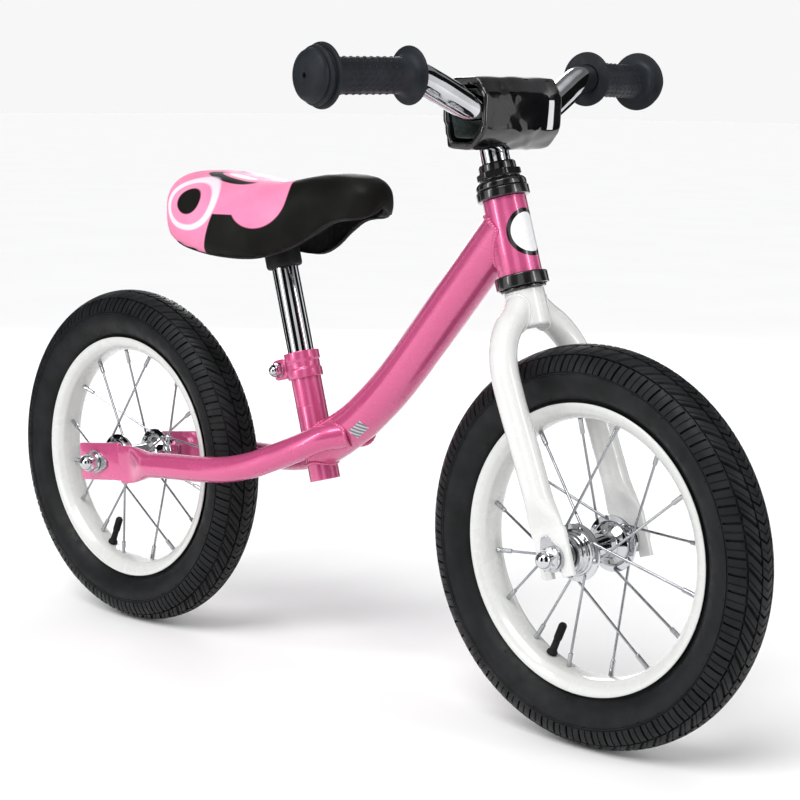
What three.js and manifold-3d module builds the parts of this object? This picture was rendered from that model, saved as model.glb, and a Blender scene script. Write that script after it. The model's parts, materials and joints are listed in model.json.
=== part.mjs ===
// A child's balance bike: steel frame, rigid fork, spoked 12 inch wheels, quill stem, rise bar and saddle.
// Millimetres, +X forward, +Y to the left, +Z up; the origin is on the ground midway between the axles.
import * as THREE from 'three';
import { mergeVertices } from 'three/addons/utils/BufferGeometryUtils.js';
import Module from 'manifold-3d';

const wasm = await Module();
wasm.setup();

// Driving dimensions
const WHEELBASE = 522;
const TYRE_RADIUS = 150;
const TYRE_HALF_WIDTH = 22.5;
const RIM_LIP_RADIUS = 108.4;
const RIM_HALF_WIDTH = 15.3;
const RIM_BED_RADIUS = 95.6;
const HUB_FLANGE_Y = 21.4;
const HUB_FLANGE_RADIUS = 21.5;
const SPOKES_PER_SIDE = 8;
const SPOKE_RADIUS = 1;
const AXLE_RADIUS = 4.3;
const DROPOUT_INNER_Y = 44;
const DROPOUT_THICKNESS = 4;
const HEAD_ANGLE = 72.5;
const HEAD_BOTTOM = { x: 185.1, z: 345.2 };
const HEAD_LENGTH = 57.8;
const HEAD_RADIUS = 16.5;
const HEAD_WALL = 2;
const STEERER_RADIUS = 12.7;
const QUILL_RADIUS = 11;
const SEAT_ANGLE = 74;
const SEAT_BASE = { x: -19.4, z: 161.3 };
const SEAT_TUBE_RADIUS = 12.7;
const SEAT_TUBE_LENGTH = 106;
const POST_RADIUS = 11.1;
const POST_TOP = 190;
const SADDLE_HEIGHT = 188;
const MAIN_TUBE_RADIUS = 17.5;
const STAY_RADIUS = 11;
const LEG_RADIUS = 10.5;
const TUBE_WALL = 2;
const BAR_RADIUS = 11.1;
const BAR_WALL = 1.5;
const GRIP_INNER_Y = 99.8;
const GRIP_LENGTH = 79;
const GAP = 0.3;

const BAR_CENTRE = { forward: 23.1, up: 116.8 };
const AXLE_X = WHEELBASE / 2;
const DROPOUT_Y = DROPOUT_INNER_Y + DROPOUT_THICKNESS / 2;
const SIDES = { right: -1, left: 1 };
const headTilt = THREE.MathUtils.degToRad(HEAD_ANGLE - 90);
const seatTilt = THREE.MathUtils.degToRad(SEAT_ANGLE - 90);

// The front axle seen from the foot of the head tube, along and across the steering axis.
const headDrop = HEAD_BOTTOM.z - TYRE_RADIUS;
const headReach = AXLE_X - HEAD_BOTTOM.x;
const FORK_AXLE = {
  forward: headReach * Math.cos(headTilt) + headDrop * Math.sin(headTilt),
  up: headReach * Math.sin(headTilt) - headDrop * Math.cos(headTilt),
};

const finish = (color, roughness, metalness) =>
  new THREE.MeshStandardMaterial({ color, roughness, metalness });
const PINK = finish(0xd9629b, 0.3, 0.35);
const WHITE = finish(0xf1f1ef, 0.3, 0.0);
const CHROME = finish(0xc8cacc, 0.15, 1.0);
const STEEL = finish(0xa9adb0, 0.35, 1.0);
const BLACK_PAINT = finish(0x141414, 0.25, 0.0);
const RUBBER = finish(0x1b1c1e, 0.75, 0.0);
const GRIP_RUBBER = finish(0x24272b, 0.7, 0.0);
const PLASTIC = finish(0x202020, 0.6, 0.0);
const VINYL = finish(0x121212, 0.25, 0.0);
const COVER = finish(0x26261f, 0.45, 0.0);

// Solids

function solid(geometry) {
  const bare = geometry.clone();
  bare.deleteAttribute('normal');
  bare.deleteAttribute('uv');
  const merged = mergeVertices(bare, 1e-4);
  const source = merged.index.array;
  const triangles = [];
  for (let i = 0; i < source.length; i += 3) {
    const [a, b, c] = source.slice(i, i + 3);
    if (a !== b && b !== c && c !== a) triangles.push(a, b, c);
  }
  const build = (order) => new wasm.Manifold(new wasm.Mesh({
    numProp: 3,
    vertProperties: new Float32Array(merged.attributes.position.array),
    triVerts: new Uint32Array(order),
  }));
  const first = build(triangles);
  return first.volume() > 0 ? first : build(triangles.reverse());
}

function geometryOf(body) {
  const mesh = body.getMesh();
  const geometry = new THREE.BufferGeometry();
  geometry.setAttribute('position', new THREE.BufferAttribute(mesh.vertProperties, 3));
  geometry.setIndex(new THREE.BufferAttribute(mesh.triVerts, 1));
  geometry.computeVertexNormals();
  return geometry;
}

function piece(name, body, material) {
  const mesh = new THREE.Mesh(geometryOf(body), material);
  mesh.name = name;
  return mesh;
}

function placed(geometry, position, rotation = [0, 0, 0]) {
  const matrix = new THREE.Matrix4().makeRotationFromEuler(new THREE.Euler(...rotation));
  return solid(geometry.clone().applyMatrix4(matrix.setPosition(...position)));
}

const box = (size, position, rotation) => placed(new THREE.BoxGeometry(...size), position, rotation);

// A round bar along Y, or along Z when upright is true.
function round(radius, length, position, { upright = false, sides = 16 } = {}) {
  const turn = upright ? [Math.PI / 2, 0, 0] : [0, 0, 0];
  return placed(new THREE.CylinderGeometry(radius, radius, length, sides), position, turn);
}

// A round bar between two points.
function strut(from, to, radius, sides = 16) {
  const start = new THREE.Vector3(...from);
  const end = new THREE.Vector3(...to);
  const geometry = new THREE.CylinderGeometry(radius, radius, start.distanceTo(end), sides);
  const ahead = end.clone().sub(start).normalize();
  geometry.applyQuaternion(new THREE.Quaternion().setFromUnitVectors(new THREE.Vector3(0, 1, 0), ahead));
  const middle = start.add(end).multiplyScalar(0.5);
  return solid(geometry.translate(middle.x, middle.y, middle.z));
}

// A ring turned about Y from its [radius, along] corners, or about Z when upright is true.
function turned(corners, { segments = 16, upright = false } = {}) {
  const loop = [...corners, corners[0]].map(([radius, along]) => new THREE.Vector2(radius, along));
  return placed(new THREE.LatheGeometry(loop, segments), [0, 0, 0], [upright ? Math.PI / 2 : 0, 0, 0]);
}

const sleeve = (inner, outer, from, to, options) =>
  turned([[inner, from], [outer, from], [outer, to], [inner, to]], options);

// A tube whose rings follow a curve. width and depth give its half sizes at 0 to 1 along it; depth is
// measured towards the reference direction.
function swept(curve, { width, depth = width, reference, rings, sides = 16 }) {
  const geometry = new THREE.CylinderGeometry(1, 1, 1, sides, rings);
  const position = geometry.attributes.position;
  for (let i = 0; i < position.count; i += 1) {
    const along = THREE.MathUtils.clamp(position.getY(i) + 0.5, 0, 1);
    const centre = curve.getPointAt(along);
    const ahead = curve.getTangentAt(along);
    const deep = reference.clone().addScaledVector(ahead, -reference.dot(ahead)).normalize();
    const wide = new THREE.Vector3().crossVectors(ahead, deep);
    centre.addScaledVector(deep, position.getX(i) * depth(along));
    centre.addScaledVector(wide, position.getZ(i) * width(along));
    position.setXYZ(i, centre.x, centre.y, centre.z);
  }
  return solid(geometry);
}

const curveThrough = (points) =>
  new THREE.CatmullRomCurve3(points.map((point) => new THREE.Vector3(...point)), false, 'centripetal');

const join = (bodies) => bodies.reduce((whole, body) => whole.add(body));
const cut = (body, ...tools) => tools.reduce((rest, tool) => rest.subtract(tool), body);

function group(position, tilt, children) {
  const holder = new THREE.Group();
  holder.position.set(...position);
  holder.rotation.y = tilt;
  holder.add(...children);
  return holder;
}

// Wheels, each about its own axle along Y

function tyreBody() {
  const centre = TYRE_RADIUS - TYRE_HALF_WIDTH;
  const shell = [];
  const reach = THREE.MathUtils.degToRad(145);
  const arc = (radius, from, to, count) => {
    for (let i = 0; i < count; i += 1) {
      const angle = from + ((to - from) * i) / (count - 1);
      shell.push([centre + radius * Math.cos(angle), radius * Math.sin(angle)]);
    }
  };
  arc(TYRE_HALF_WIDTH, -reach, reach, 9);
  shell.push([105, 10.9], [105, 8.6]);
  arc(TYRE_HALF_WIDTH - 3.2, 0.97 * reach, -0.97 * reach, 4);
  shell.push([105, -8.6], [105, -10.9]);
  return turned(shell, { segments: 32 });
}

// Air tube with a wall of its own, open where the valve enters it.
function innerTubeBody(valveAngle) {
  const centre = TYRE_RADIUS - TYRE_HALF_WIDTH - 1;
  const ring = (radius) => solid(new THREE.TorusGeometry(centre, radius, 6, 20).rotateX(Math.PI / 2));
  const at = (radius) => [radius * Math.cos(valveAngle), 0, radius * Math.sin(valveAngle)];
  return cut(ring(11.5), ring(10), strut(at(centre - 16), at(centre - 4), 2.6, 8));
}

function rimBody() {
  const lip = RIM_LIP_RADIUS;
  const bed = RIM_BED_RADIUS;
  const half = [[bed, 0], [bed + 1.4, 9.5], [bed + 7.9, 15], [lip, RIM_HALF_WIDTH], [lip, 13.6],
    [bed + 3.1, 8.6], [bed + 1.7, 0]];
  const mirrored = half.slice(1, -1).reverse().map(([radius, along]) => [radius, -along]);
  return turned([...half, ...mirrored], { segments: 32 });
}

// Pressed hub shell with a waisted barrel, a shoulder for each flange and stepped bearing cups.
function hubBody() {
  const half = [[10, 0], [10.4, 12], [16.8, 18.5], [16.8, 26.4], [14.6, 28.6], [14.6, 35], [11.6, 35],
    [11.6, 28], [6, 26.5]];
  const mirrored = half.slice(1).reverse().map(([radius, along]) => [radius, -along]);
  return turned([...half, ...mirrored], { segments: 16 });
}

// A spoke from its hook to the rim, thickened by its nipple over the last stretch.
function spokeWithNipple(hook, rimPoint) {
  const length = hook.distanceTo(rimPoint);
  const nippleFrom = length - 11;
  const profile = [[0, 0], [SPOKE_RADIUS, 0], [SPOKE_RADIUS, nippleFrom], [2 * SPOKE_RADIUS, nippleFrom],
    [2 * SPOKE_RADIUS, length], [0, length]];
  const outline = profile.map(([radius, along]) => new THREE.Vector2(radius, along));
  const ahead = rimPoint.clone().sub(hook).normalize();
  const turn = new THREE.Quaternion().setFromUnitVectors(new THREE.Vector3(0, 1, 0), ahead);
  return solid(new THREE.LatheGeometry(outline, 4).applyQuaternion(turn).translate(hook.x, hook.y, hook.z));
}

// One flange with the eight spokes that hook into it, crossed in pairs, each with its nipple at the rim.
function spokesBody(side, crossing) {
  const seat = 18.2;
  const flangeY = side * HUB_FLANGE_Y;
  const rimEnd = RIM_BED_RADIUS - 0.9;
  const pitch = 2 * Math.PI / SPOKES_PER_SIDE;
  const flange = sleeve(17.2, HUB_FLANGE_RADIUS, flangeY - 1, flangeY + 1, { segments: 16 });
  const point = (radius, angle, y) =>
    new THREE.Vector3(radius * Math.cos(angle), y, radius * Math.sin(angle));
  const parts = [flange];
  for (let i = 0; i < SPOKES_PER_SIDE; i += 1) {
    const lean = i % 2 === 0 ? 0.5 : -0.5;
    const middle = crossing + Math.floor(i / 2) * 2 * pitch;
    const hook = point(seat, middle - lean * pitch, flangeY - side * lean * 1.6);
    const rimPoint = point(rimEnd, middle + lean * pitch, side * 1.5);
    parts.push(spokeWithNipple(hook, rimPoint));
  }
  return join(parts);
}

// Valve stem with its cap, standing inwards from the rim bed.
function valveBody(angle) {
  const seat = RIM_BED_RADIUS - 0.9;
  const stem = turned([[0, 68], [2.6, 68.5], [3, 71], [3, 82], [2.5, 82.2], [2.5, seat - 2.2],
    [4.5, seat - 2], [4.5, seat], [0, seat]], { segments: 8 });
  return stem.rotate([0, 0, -90]).rotate([0, THREE.MathUtils.radToDeg(-angle), 0]);
}

function wheel(prefix, turn) {
  const valveAngle = turn + THREE.MathUtils.degToRad(146.25);
  return [
    piece(`${prefix}_tyre`, tyreBody(), RUBBER),
    piece(`${prefix}_inner_tube`, innerTubeBody(valveAngle), RUBBER),
    piece(`${prefix}_rim`, rimBody(), WHITE),
    piece(`${prefix}_hub_shell`, hubBody(), CHROME),
    piece(`${prefix}_spokes_right`, spokesBody(SIDES.right, turn), CHROME),
    piece(`${prefix}_spokes_left`, spokesBody(SIDES.left, turn + Math.PI / SPOKES_PER_SIDE), CHROME),
    piece(`${prefix}_valve`, valveBody(valveAngle), RUBBER),
  ];
}

// Axle with its cones, tabbed washers and domed nuts; hook is the angle at which the washer's tab points.
function axleSet(prefix, hook) {
  const pieces = [piece(`${prefix}_axle`, round(AXLE_RADIUS, 118, [0, 0, 0], { sides: 14 }), STEEL)];
  const bore = AXLE_RADIUS + GAP;
  for (const [sideName, side] of Object.entries(SIDES)) {
    const at = (corners) => corners.map(([radius, along]) => [radius, side * along]);
    const cone = turned(at([[bore, 30], [10.8, 32.5], [10.8, 36.4], [8.6, 36.4], [8.6, 43.7],
      [bore, 43.7]]), { segments: 14 });
    pieces.push(piece(`${prefix}_cone_${sideName}`, cone, STEEL));
    const outside = DROPOUT_INNER_Y + DROPOUT_THICKNESS + GAP;
    const disc = sleeve(bore, 10.4, side * outside, side * (outside + 1.6), { segments: 14 });
    const tab = box([7, 1.6, 8], [12.5, side * (outside + 0.8), 0]);
    const washer = join([disc, tab]);
    pieces.push(piece(`${prefix}_washer_${sideName}`, washer.rotate([0, -hook, 0]), STEEL));
    const nutFrom = outside + 1.6 + GAP;
    const hexagon = round(8.4, 8, [0, side * (nutFrom + 4), 0], { sides: 6 });
    const flange = round(9.2, 1.6, [0, side * (nutFrom + 0.8), 0], { sides: 14 });
    const dome = placed(new THREE.SphereGeometry(7, 10, 5), [0, side * (nutFrom + 7.4), 0]);
    const hole = round(bore, 19, [0, side * (nutFrom + 0.2), 0], { sides: 12 });
    pieces.push(piece(`${prefix}_nut_${sideName}`, cut(join([hexagon, flange, dome]), hole), CHROME));
  }
  return pieces;
}

// A flattened tube end: plate across Y with the axle at its origin and a slot open towards -X.
function dropoutPlate(width, front, back) {
  const outline = new THREE.Shape();
  outline.moveTo(-back, -width / 2);
  outline.lineTo(front, -width / 2);
  outline.lineTo(front, width / 2);
  outline.lineTo(-back, width / 2);
  outline.closePath();
  const plate = placed(
    new THREE.ExtrudeGeometry(outline, { depth: DROPOUT_THICKNESS, bevelEnabled: false }),
    [0, DROPOUT_THICKNESS / 2, 0], [Math.PI / 2, 0, 0]);
  const slot = AXLE_RADIUS + GAP;
  const mouth = box([back + 10, 10, 2 * slot], [-(back + 10) / 2, 0, 0]);
  return cut(plate, join([round(slot, 10, [0, 0, 0]), mouth]));
}

// Frame

const headAxisAt = (up, forward = 0) => [
  HEAD_BOTTOM.x + up * Math.sin(headTilt) + forward * Math.cos(headTilt), 0,
  HEAD_BOTTOM.z + up * Math.cos(headTilt) - forward * Math.sin(headTilt)];
const seatAxisAt = (up) =>
  [SEAT_BASE.x + up * Math.sin(seatTilt), 0, SEAT_BASE.z + up * Math.cos(seatTilt)];

const headClearance = () => strut(headAxisAt(-40), headAxisAt(100), HEAD_RADIUS + 1.3 * GAP, 32);
const seatClearance = () => strut(seatAxisAt(-40), seatAxisAt(140), SEAT_TUBE_RADIUS + 1.3 * GAP, 32);

// The main tube leaves the head tube straight and sweeps round to the foot of the seat tube.
const mainTubeCurve = curveThrough([
  [-28, 0, 186.5], [-12, 0, 195], [3.5, 0, 204.7], [19.7, 0, 215.8], [35.4, 0, 228.9], [51.6, 0, 243.7],
  [68.1, 0, 260.9], [83.8, 0, 278.7], [129.3, 0, 331.5], [170, 0, 378.8]]);

const mainTubeSolid = (radius) => swept(mainTubeCurve, {
  width: () => radius, reference: new THREE.Vector3(0, 1, 0), rings: 8, sides: 13,
});

function mainTube() {
  const wall = 1.6;
  const hollow = mainTubeSolid(MAIN_TUBE_RADIUS - wall);
  const body = cut(mainTubeSolid(MAIN_TUBE_RADIUS), hollow, headClearance(), seatClearance());
  return piece('main_tube', body, PINK);
}

// The hollow of a bent tube, for as far as the tube stays round.
const hollowOf = (route, radius) => swept(curveThrough(route), {
  width: () => radius - TUBE_WALL, reference: new THREE.Vector3(0, 1, 0), rings: 8, sides: 9,
});

// A chain stay: round from the foot of the seat tube, pressed flat for the axle at its rear end.
function stay(sideName) {
  const side = SIDES[sideName];
  const route = [
    [14, side * 8, 205], [-5, side * 19, 199.5], [-24, side * 25.5, 190.5], [-48, side * 30.5, 180],
    [-70, side * 36, 171], [-95, side * 40.5, 164.5], [-126, side * 44, 161], [-165, side * 46, 158.5],
    [-200, side * 46, 155], [-228, side * 46, 151.5]];
  const flat = (along) => THREE.MathUtils.smoothstep(along, 0.84, 0.96);
  const tube = swept(curveThrough(route), {
    width: (along) => STAY_RADIUS + 5.5 * flat(along),
    depth: (along) => STAY_RADIUS + (DROPOUT_THICKNESS / 2 - STAY_RADIUS) * flat(along),
    reference: new THREE.Vector3(0, 1, 0), rings: 15, sides: 11,
  });
  const plate = dropoutPlate(33, 36, 22).rotate([0, -6.9, 0])
    .translate([-AXLE_X, side * DROPOUT_Y, TYRE_RADIUS]);
  const body = cut(join([tube, plate]), hollowOf(route.slice(0, -3), STAY_RADIUS),
    mainTubeSolid(MAIN_TUBE_RADIUS + GAP), seatClearance());
  return piece(`stay_${sideName}`, body, PINK);
}

function headTube() {
  const options = { upright: true, segments: 24 };
  return piece('head_tube', sleeve(HEAD_RADIUS - HEAD_WALL, HEAD_RADIUS, 0, HEAD_LENGTH, options), PINK);
}

function headsetCups() {
  const skirt = HEAD_RADIUS - HEAD_WALL - GAP;
  const inner = skirt - 1.1;
  const upper = turned([[inner, 48], [skirt, 48], [skirt, 58.1], [20, 58.1], [20, 65.2], [18.2, 65.2],
    [18.2, 61.4], [inner, 60]], { upright: true });
  const lower = turned([[inner, 9], [inner, -2], [18.2, -3.6], [18.2, -9.5], [20, -9.5], [20, -GAP],
    [skirt, -GAP], [skirt, 9]], { upright: true });
  return [piece('headset_cup_upper', upper, BLACK_PAINT), piece('headset_cup_lower', lower, BLACK_PAINT)];
}

function seatTube() {
  const tube = sleeve(POST_RADIUS + GAP, SEAT_TUBE_RADIUS, 0, SEAT_TUBE_LENGTH, { upright: true });
  const slit = box([8, 3, 46], [-SEAT_TUBE_RADIUS, 0, SEAT_TUBE_LENGTH - 20]);
  return piece('seat_tube', cut(tube, slit), PINK);
}

// Split clamp with two raised bands and two ears behind the tube.
const COLLAR = { from: 85.5, to: 107.5, bolt: -20, boltUp: 96.5, earHalf: 9 };

function seatCollar() {
  const bore = SEAT_TUBE_RADIUS + GAP;
  const skin = SEAT_TUBE_RADIUS + 2.2;
  const groove = skin - 0.9;
  const ring = turned([[bore, COLLAR.from], [skin, COLLAR.from], [skin, 94], [groove, 95.2],
    [groove, 98], [skin, 99.2], [skin, COLLAR.to], [bore, COLLAR.to]], { upright: true });
  const ears = box([16, 2 * COLLAR.earHalf, 17], [COLLAR.bolt, 0, COLLAR.boltUp]);
  const slit = box([24, 5, 40], [COLLAR.bolt + 2, 0, COLLAR.boltUp]);
  const bolt = round(3.3, 40, [COLLAR.bolt, 0, COLLAR.boltUp], { sides: 14 });
  const inside = round(bore, 60, [0, 0, COLLAR.boltUp], { upright: true, sides: 24 });
  return piece('seat_collar', cut(join([ring, ears]), slit, bolt, inside), PINK);
}

function collarFasteners() {
  const at = (y) => [COLLAR.bolt, y, COLLAR.boltUp];
  const outside = COLLAR.earHalf + GAP;
  const shank = strut(at(outside), at(-outside - 9), 3, 14);
  const head = round(5.5, 4, at(outside + 2), { sides: 16 });
  const hexagon = round(6.2, 6, at(-outside - 3), { sides: 6 });
  const dome = placed(new THREE.SphereGeometry(5.4, 14, 8), at(-outside - 7.4));
  const hole = strut(at(0), at(-outside - 9.3), 3.3, 14);
  return [
    piece('collar_bolt', join([shank, head]), STEEL),
    piece('collar_nut', cut(join([hexagon, dome]), hole), CHROME),
  ];
}

// Fork, in the steering frame: origin at the foot of the head tube, +Z up the steering axis

const CROWN = { radius: 15, top: -12.3, foot: -40 };

function forkLeg(sideName) {
  const side = SIDES[sideName];
  const route = [
    [0, side * 4, -19], [0, side * 16.5, -31], [0.3, side * 28, -40], [1, side * 37.5, -52],
    [2.5, side * 43.8, -68], [4.5, side * 46, -90], [8, side * 46, -135], [10.6, side * 46, -172],
    [12.4, side * 46, -192]];
  const flat = (along) => THREE.MathUtils.smoothstep(along, 0.85, 0.99);
  const tube = swept(curveThrough(route), {
    width: (along) => LEG_RADIUS + 4.5 * flat(along),
    depth: (along) => LEG_RADIUS + (DROPOUT_THICKNESS / 2 - LEG_RADIUS) * flat(along),
    reference: new THREE.Vector3(0, 1, 0), rings: 15, sides: 11,
  });
  const plate = dropoutPlate(30, 24, 15).rotate([0, -90, 0])
    .translate([FORK_AXLE.forward, side * DROPOUT_Y, FORK_AXLE.up]);
  const crown = strut([0, 0, CROWN.foot - GAP], [0, 0, 0], CROWN.radius + GAP, 24);
  const otherSide = box([80, 80, 200], [0, -side * (40 - GAP / 2), -60]);
  const body = cut(join([tube, plate]), hollowOf(route.slice(0, -2), LEG_RADIUS), crown, otherSide);
  return piece(`fork_leg_${sideName}`, body, WHITE);
}

// Crown tube with the steerer that turns inside the head tube.
function forkCrown() {
  const bore = QUILL_RADIUS + GAP;
  const body = turned([[bore, CROWN.foot], [CROWN.radius, CROWN.foot], [CROWN.radius, CROWN.top],
    [STEERER_RADIUS, CROWN.top], [STEERER_RADIUS, 84], [bore, 84]], { upright: true, segments: 22 });
  return piece('fork_crown', body, WHITE);
}

function headsetRings() {
  const bore = STEERER_RADIUS + GAP;
  const ring = (name, corners, material) =>
    piece(name, turned(corners, { upright: true, segments: 16 }), material);
  const neck = round(13.4, 11, [0, 0, 79.6], { upright: true });
  const hexagon = round(16.8, 4.5, [0, 0, 76.4], { upright: true, sides: 6 });
  const hole = round(bore, 40, [0, 0, 78], { upright: true, sides: 24 });
  return [
    ring('headset_race_lower',
      [[bore, -12], [17.2, -12], [17.2, -9.8], [15.5, -8.4], [bore, -8.4]], BLACK_PAINT),
    ring('headset_bearing_lower', [[14, -8], [17.4, -8], [17.6, -4.6], [14, -4.6]], STEEL),
    ring('headset_bearing_upper', [[14, 62], [17.6, 62], [17.6, 65.4], [14, 65.4]], STEEL),
    ring('headset_cone_upper',
      [[bore, 65.7], [19.2, 65.7], [19.2, 70.5], [17.4, 72.2], [bore, 72.2]], BLACK_PAINT),
    ring('headset_washer', [[bore, 72.5], [15.6, 72.5], [15.6, 73.8], [bore, 73.8]], BLACK_PAINT),
    piece('headset_locknut', cut(join([neck, hexagon]), hole), BLACK_PAINT),
  ];
}

// Stem, bar, grips and pad

const barCentre = headAxisAt(BAR_CENTRE.up, BAR_CENTRE.forward);
const aroundBar = (forward, y, up) => [barCentre[0] + forward, y, barCentre[2] + up];
const STEM = { clampRadius: 14.2, clampHalf: 12.5, top: 112, foot: 22 };

// Quill stem: split clamp for the bar, short arm, and a tube that a wedge locks in the steerer.
function stemSet() {
  const boltRoom = 4.3;
  const quill = strut(headAxisAt(STEM.foot), headAxisAt(STEM.top), QUILL_RADIUS, 18);
  const arm = strut(headAxisAt(STEM.top - 7), aroundBar(-6, 0, -2), 9);
  const clamp = round(STEM.clampRadius, 2 * STEM.clampHalf, barCentre, { sides: 20 });
  const lugs = box([11, 2 * STEM.clampHalf - 4, 12], aroundBar(0, 0, 13.5));
  const barRoom = round(BAR_RADIUS + GAP, 60, barCentre, { sides: 20 });
  const slit = box([2.4, 40, 20], aroundBar(0, 0, 18));
  const clampBoltRoom = join([strut(aroundBar(-14, 0, 15.6), aroundBar(14, 0, 15.6), 2.3, 12),
    strut(aroundBar(5.5, 0, 15.6), aroundBar(20, 0, 15.6), 3.8, 12)]);
  const core = join([strut(headAxisAt(0), headAxisAt(STEM.top + 1), boltRoom),
    strut(headAxisAt(STEM.top), headAxisAt(STEM.top + 20), 8)]);
  const slope = THREE.MathUtils.degToRad(35);
  const below = box([60, 40, 30], headAxisAt(STEM.foot), [0, headTilt + slope, 0]);
  const wedgeRoom = box([60, 40, 30.6], headAxisAt(STEM.foot), [0, headTilt + slope, 0]);
  const body = cut(join([quill, arm, clamp, lugs]), barRoom, slit, clampBoltRoom, core, wedgeRoom);
  const wedgeBlank = strut(headAxisAt(STEM.foot - 24), headAxisAt(STEM.foot + 30), QUILL_RADIUS - GAP, 18);
  const wedge = cut(wedgeBlank.intersect(below), core);
  const bolt = join([
    strut(headAxisAt(STEM.foot - 26), headAxisAt(STEM.top + 2), boltRoom - GAP, 14),
    strut(headAxisAt(STEM.top + GAP), headAxisAt(STEM.top + 6), 7, 6)]);
  const clampBolt = join([
    strut(aroundBar(-8, 0, 15.6), aroundBar(8, 0, 15.6), 2, 12),
    strut(aroundBar(5.8, 0, 15.6), aroundBar(9, 0, 15.6), 3.4, 12)]);
  return [
    piece('stem', body, CHROME),
    piece('stem_wedge', wedge, STEEL),
    piece('stem_bolt', bolt, STEEL),
    piece('bar_clamp_bolt', clampBolt, STEEL),
  ];
}

// Half of the bar from its centre to its end, as offsets from the middle of the clamp.
const BAR_BENDS = [[0, 18, 0], [-0.2, 28, 0.8], [-1, 44, 4.6], [-3.5, 62, 12.5], [-6.5, 79, 20.5],
  [-8, 91, 25.2], [-8.7, GRIP_INNER_Y, 26.3], [-10, 112, 26.2],
  [-18, GRIP_INNER_Y + GRIP_LENGTH + 2, 25.2]];

function handlebar() {
  const left = BAR_BENDS.map(([forward, y, up]) => aroundBar(forward, y, up));
  const right = BAR_BENDS.map(([forward, y, up]) => aroundBar(forward, -y, up)).reverse();
  const curve = curveThrough([...right, ...left]);
  const bar = (radius) => swept(curve, {
    width: () => radius, reference: new THREE.Vector3(0, 0, 1), rings: 24, sides: 10,
  });
  return piece('handlebar', cut(bar(BAR_RADIUS), bar(BAR_RADIUS - BAR_WALL)), CHROME);
}

// Rubber grip with a guard flange at each end and a domed, closed tip.
function grip(sideName) {
  const side = SIDES[sideName];
  const bore = BAR_RADIUS + 0.9;
  const guard = GRIP_LENGTH;
  const profile = [[bore, 0], [20.9, 0], [20.9, 2.2], [16, 3.8], [13.2, 7.5], [12.8, 14], [12.8, guard - 9],
    [14.2, guard - 3.5], [18, guard - 1.6], [22.9, guard - 1.3], [22.9, guard + 1.3], [18.8, guard + 1.8],
    [18.8, guard + 3.4], [20.8, guard + 3.9], [20.8, guard + 6.5], [18.2, guard + 7], [18.9, guard + 8.2],
    [17.6, guard + 12], [11, guard + 14.6], [0, guard + 15.4], [0, guard + 4], [bore, guard + 4]];
  const [innerPoint, outerPoint] = BAR_BENDS.slice(-2).map(([forward, y, up]) =>
    new THREE.Vector3(...aroundBar(forward, side * y, up)));
  const ahead = outerPoint.clone().sub(innerPoint).normalize();
  const start = innerPoint.clone().addScaledVector(ahead, -(112 - GRIP_INNER_Y));
  const turn = new THREE.Quaternion().setFromUnitVectors(new THREE.Vector3(0, 1, 0), ahead);
  const loop = [...profile, profile[0]].map(([radius, along]) => new THREE.Vector2(radius, along));
  const geometry = new THREE.LatheGeometry(loop, 14).applyQuaternion(turn);
  return piece(`grip_${sideName}`, solid(geometry.translate(start.x, start.y, start.z)), GRIP_RUBBER);
}

// Vinyl pad wrapped round the bar and stem: a folded wall, open at both ends and behind the stem.
const PAD = { half: 44, wall: 1.9, middle: { x: 165, z: 463 } };

function padSolid(inset) {
  const { middle, half } = PAD;
  const corners = [[-13, 28], [13, 28], [22, 15], [21, -13], [8, -27], [-16.5, -26.5], [-23.2, 2]];
  const size = 1 - inset / 22.5;
  const outline = new THREE.Shape(corners.map(([x, z]) => new THREE.Vector2(x * size, z * size)));
  const length = 2 * half + (inset > 0 ? 20 : 0);
  const geometry = new THREE.ExtrudeGeometry(outline, { depth: length, steps: 6, bevelEnabled: false });
  geometry.translate(0, 0, -length / 2).rotateX(Math.PI / 2);
  const position = geometry.attributes.position;
  for (let i = 0; i < position.count; i += 1) {
    const across = THREE.MathUtils.clamp(position.getY(i) / half, -1, 1);
    const fullness = 1 + 0.18 * Math.cos(across * Math.PI / 2) ** 2;
    position.setX(i, position.getX(i) * fullness);
  }
  return solid(geometry.translate(middle.x, 0, middle.z));
}

function barPad() {
  const stemRoom = strut(headAxisAt(60), headAxisAt(STEM.top + 7), QUILL_RADIUS + 1.5, 24);
  const clampRoom = round(STEM.clampRadius + GAP, 2 * STEM.clampHalf + 1, barCentre, { sides: 20 });
  return piece('bar_pad', cut(padSolid(0), padSolid(PAD.wall), stemRoom, clampRoom), VINYL);
}

// Seat post and saddle

// A closed form drawn out along X from a sphere; section(x) gives its half width, top and bottom there.
function saddleForm(rear, nose, section, along, around) {
  const geometry = new THREE.SphereGeometry(1, around, along).rotateZ(-Math.PI / 2);
  const position = geometry.attributes.position;
  const signedPower = (value, power) =>
    (Math.abs(value) < 1e-9 ? 0 : Math.sign(value) * Math.abs(value) ** power);
  for (let i = 0; i < position.count; i += 1) {
    const length = position.getX(i);
    const x = (rear + nose) / 2 + length * (nose - rear) / 2;
    const radius = Math.max(Math.hypot(position.getY(i), position.getZ(i)), 1e-6);
    const across = position.getY(i) / radius;
    const height = position.getZ(i) / radius;
    const { half, top, bottom } = section(x);
    const taper = (power) => (1 - Math.min(Math.abs(length), 1) ** power) ** 0.5;
    const waist = bottom + 0.35 * (top - bottom);
    const squareness = height > 0 ? 0.8 : 0.4;
    const rise = height > 0 ? top - waist : waist - bottom;
    position.setXYZ(i, x, taper(5) * half * signedPower(across, squareness),
      waist + taper(8) * rise * signedPower(height, squareness));
  }
  return solid(geometry);
}

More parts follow.
